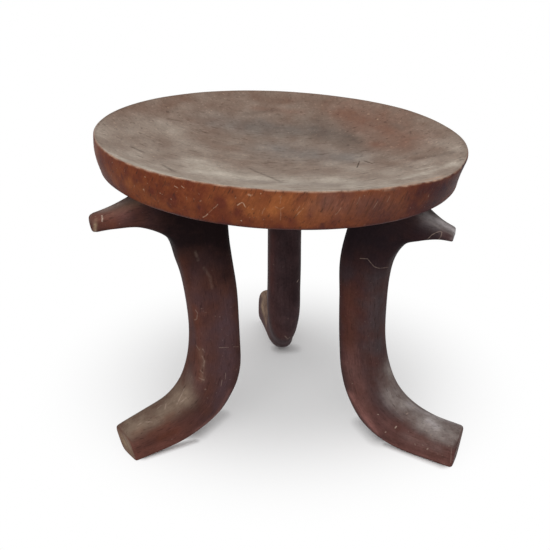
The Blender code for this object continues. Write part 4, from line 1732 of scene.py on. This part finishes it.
LEFT_LEG_SCRATCHES = (
    # The horn's chipped end
    Scratch(((101.9, 215.6), (102.4, 218.4), (102.1, 220.8)), 1.3, 1.0),
    Scratch(((95.6, 216.5), (95.6, 230.5)), 1.2, 0.45),
    # A fine line across the shaft
    Scratch(((219, 347.7), (228.4, 347.4)), 0.7, 0.36),
    Scratch(((233.5, 346.7), (238.6, 346.7)), 0.7, 0.36),
    # Pale scars down the shaft
    Scratch(((195.5, 310), (197.5, 313), (196.8, 319), (194.5, 320)), 1.0, 0.26),
    Scratch(((196, 345), (199.5, 350)), 1.0, 0.22),
    Scratch(((202.5, 349), (204.5, 352)), 1.0, 0.26),
    Scratch(((202, 356), (204.5, 361), (203.5, 366)), 1.2, 0.26),
    Scratch(((200, 370), (203, 373)), 1.0, 0.26),
    Scratch(((199, 378), (204, 380)), 1.1, 0.30),
    Scratch(((195.4, 252), (198, 260)), 2.6, 0.10),
    Scratch(((204, 268), (210, 277), (212, 288)), 2.8, 0.08),
    Scratch(((225.6, 373), (225.4, 379)), 0.8, 0.30),
    Scratch(((222, 380), (221, 386)), 0.8, 0.26),
    # Pale scratches on top of the foot
    Scratch(((177, 404), (184, 389)), 1.1, 0.45),
    Scratch(((165, 409), (166, 404)), 1.3, 0.45),
    Scratch(((146, 422), (152, 422)), 1.3, 0.40),
    Scratch(((157, 409), (161, 405.5)), 1.2, 0.40),
    Scratch(((181, 402), (186, 398)), 1.2, 0.35),
    Scratch(((138, 425), (141, 423)), 1.2, 0.35),
)
RIGHT_LEG_STAINS = (
    # Rust-brown wood down the shaft
    Dab(Tint.RUST, (348, 296), (350, 345), 9.0, 0.45),
    # Redder wood from the shaft to the toe, and painted bounce light from the floor along its lower left
    # edges
    Dab(Tint.RED, (350, 352), (366, 405), 10.0, 0.48),
    Dab(Tint.RED, (366, 410), (440, 452), 8.0, 0.30),
    Dab(Tint.RED, (346, 366), (362, 412), 9.0, 0.40),
    Dab(Tint.RED, (368, 420), (390, 438), 7.0, 0.40),
    # Painted bounce light from the floor round the heel and along the sole, and rubbed wood on the horn
    Dab(Tint.AMBER, (351, 396), (376, 432), 6.0, 0.60),
    Dab(Tint.AMBER, (384, 440), (446, 464), 3.0, 0.40),
    Dab(Tint.AMBER, (444, 234), (450, 238), 4.0, 0.09),
    # Dust on the foot
    Dab(Tint.DUST, (390, 370), (440, 425), 12.0, 0.62),
    Dab(Tint.DUST, (432, 436), (452, 444), 5.0, 0.45),
    Dab(Tint.DUST, (404, 436), (440, 450), 6.0, 0.12),
    # Pale, dry wood on top of the foot and on the horn, with painted light over the shade of the horn's top
    # facet
    Dab(Tint.PALE, (410, 404), (458, 424), 5.0, 0.45),
    Dab(Tint.PALE, (428, 420), (436, 426), 5.0, 0.50),
    Dab(Tint.PALE, (428, 215.5), (441, 222.8), 7.5, 0.80),
    Dab(Tint.PALE, (441, 222.8), (453.5, 229.5), 7.5, 0.80),
    Dab(Tint.PALE, (453.5, 231), (452.5, 239), 2.4, 0.18),
    # Darker on the shaft's outer side and above the heel
    Dab(Tint.DARK, (376, 280), (378, 350), 12.0, 0.65),
    Dab(Tint.DARK, (372, 390), (392, 412), 9.0, 0.40),
    # Painted shade, with smoke, under the seat, and darker on the toe's end
    Dab(Tint.SOOT_AND_SHADE, (350, 238), (400, 242), 22.0, 0.72),
    Dab(Tint.SOOT_AND_SHADE, (457, 444), (454, 460), 4.5, 0.42),
)
RIGHT_LEG_SCRATCHES = (
    # A fine line across the shaft
    Scratch((
        (360, 258.4), (367.6, 258.8), (374.3, 266.7), (379.6, 268.3), (382.6, 268.0),
        (385.6, 267.5), (388.5, 267.0),
    ), 0.6, 0.36),
    # A fine loop on the horn
    Scratch((
        (427.6, 239), (431.7, 235), (436, 232.6), (440.2, 231.2), (442, 232.2), (440.9, 236.6),
        (438.6, 239.4),
    ), 0.5, 0.55),
    # Pale specks on the foot
    Scratch(((395, 428), (396.4, 426.5)), 1.2, 0.90),
    Scratch(((427, 449.2), (428, 448.6)), 1.1, 0.85),
    Scratch(((385, 432.6), (386, 431.8)), 1.0, 0.70),
    Scratch(((377.5, 414.5), (378.5, 414.5)), 1.0, 0.65),
    Scratch(((406.6, 413.8), (407.8, 413)), 1.0, 0.70),
    Scratch(((413, 408), (414.5, 407.6)), 1.0, 0.60),
    Scratch(((415, 444), (415.2, 445)), 1.0, 0.70),
    Scratch(((422.5, 445), (423, 445.5)), 1.0, 0.65),
    Scratch(((448.5, 446), (449.5, 445.8)), 0.8, 0.40),
    Scratch(((425, 420), (426.5, 419.4)), 1.0, 0.35),
    Scratch(((428.5, 424), (430, 424)), 1.0, 0.40),
    Scratch(((430.5, 435), (431.5, 435)), 0.9, 0.35),
    # A painted highlight along the toe's upright edge
    Scratch(((451.6, 448), (451.2, 455), (450.8, 462.5)), 0.8, 0.26),
)
REAR_LEG_STAINS = (
    # Painted shade, with smoke, under the seat
    Dab(Tint.SOOT_AND_SHADE, (290, 245), (294, 300), 14.0, 0.5),
    # Dust beside the shaft, low down
    Dab(Tint.DUST, (262, 306), (266, 322), 6.0, 0.78),
    # Redder wood down the shaft
    Dab(Tint.RED, (270, 300), (280, 336), 9.0, 0.62),
    Dab(Tint.RED, (272, 236), (271, 290), 7.0, 0.60),
    # Wear on an edge low down, with a painted highlight along it
    Dab(Tint.WORN_AND_HIGHLIGHT, (267, 304), (268, 322), 2.2, 0.45),
)
REAR_LEG_SCRATCHES = (
    # Pale nicks on the shaft
    Scratch(((297, 282), (298.6, 279.5)), 1.0, 0.70),
    Scratch(((285, 336), (288, 339), (290, 337)), 1.2, 0.40),
)

SEAT = Seat(dabs=SEAT_STAINS, scratches=SEAT_SCRATCHES)

LEGS = (
    Leg(
        "front_left_leg", seed=11,
        azimuth=208.0, twist=2.0, splay=0.055, girth=1.108, half_width=0.0205,
        throat=0.1345, shoulder=0.0, spine_square=3.0,
        horn_reach=0.2117, horn_rise=0.0016, horn_drop=0.0012, horn_square=3.2, horn_edge=0.0042,
        horn_bare=0.95, horn_skew=0.0045, horn_lean=0.0005, horn_arch=0.0018,
        heel_rise=0.0030, heel_taper=1.0, heel_shift=0.0, sole_rise=0.0072, instep=-0.0015,
        foot_reach=0.2100, foot_height=0.0285, foot_undercut=0.005, foot_square=4.2, foot_edge=0.0022,
        face_worn=0.9, toe_turn=0.0, toe_skew=-0.0018,
        dabs=LEFT_LEG_STAINS, scratches=LEFT_LEG_SCRATCHES,
    ),
    Leg(
        "front_right_leg", seed=12,
        azimuth=331.0, twist=-4.0, splay=-0.028, girth=0.99, half_width=0.0205,
        throat=0.1360, shoulder=0.0205, spine_square=3.0,
        horn_reach=0.1859, horn_rise=-0.0035, horn_drop=-0.0042, horn_square=5.5, horn_edge=0.0012,
        horn_bare=0.33, horn_skew=-0.0050, horn_lean=0.0004, horn_arch=0.0010,
        heel_rise=0.0, heel_taper=1.0, heel_shift=0.0, sole_rise=0.0010, instep=0.0020,
        foot_reach=0.2096, foot_height=0.0405, foot_undercut=0.0062, foot_square=3.6, foot_edge=0.0032,
        face_worn=0.35, toe_turn=0.0, toe_skew=-0.0042,
        dabs=RIGHT_LEG_STAINS, scratches=RIGHT_LEG_SCRATCHES,
    ),
    Leg(
        "rear_leg", seed=13,
        azimuth=93.4, twist=1.5, splay=0.010, girth=1.0, half_width=0.0197,
        throat=0.1330, shoulder=0.0, spine_square=2.4,
        horn_reach=0.1900, horn_rise=0.0, horn_drop=0.0, horn_square=3.0, horn_edge=0.004,
        horn_bare=0.6, horn_skew=0.0, horn_lean=0.001, horn_arch=0.0,
        heel_rise=0.0082, heel_taper=0.75, heel_shift=0.0040, sole_rise=0.0042, instep=0.0,
        foot_reach=0.2300, foot_height=0.0450, foot_undercut=0.005, foot_square=3.6, foot_edge=0.0025,
        face_worn=0.3, toe_turn=0.0090, toe_skew=0.0,
        dabs=REAR_LEG_STAINS, scratches=REAR_LEG_SCRATCHES,
    ),
)


def main() -> None:
    """Builds the stool's pieces and the studio."""
    logging.basicConfig(level=logging.INFO, format="%(name)s: %(message)s")
    view = View()
    view.add_camera()
    Studio().build()
    pieces = [SEAT.build(view, SEAT_WOOD)]
    for leg, wood in zip(LEGS, LEG_WOODS):
        pieces.append(leg.build(view, wood))
    for piece in pieces:
        LOG.info("%s: %d faces", piece.name, len(piece.data.polygons))


if __name__ == "__main__":
    main()
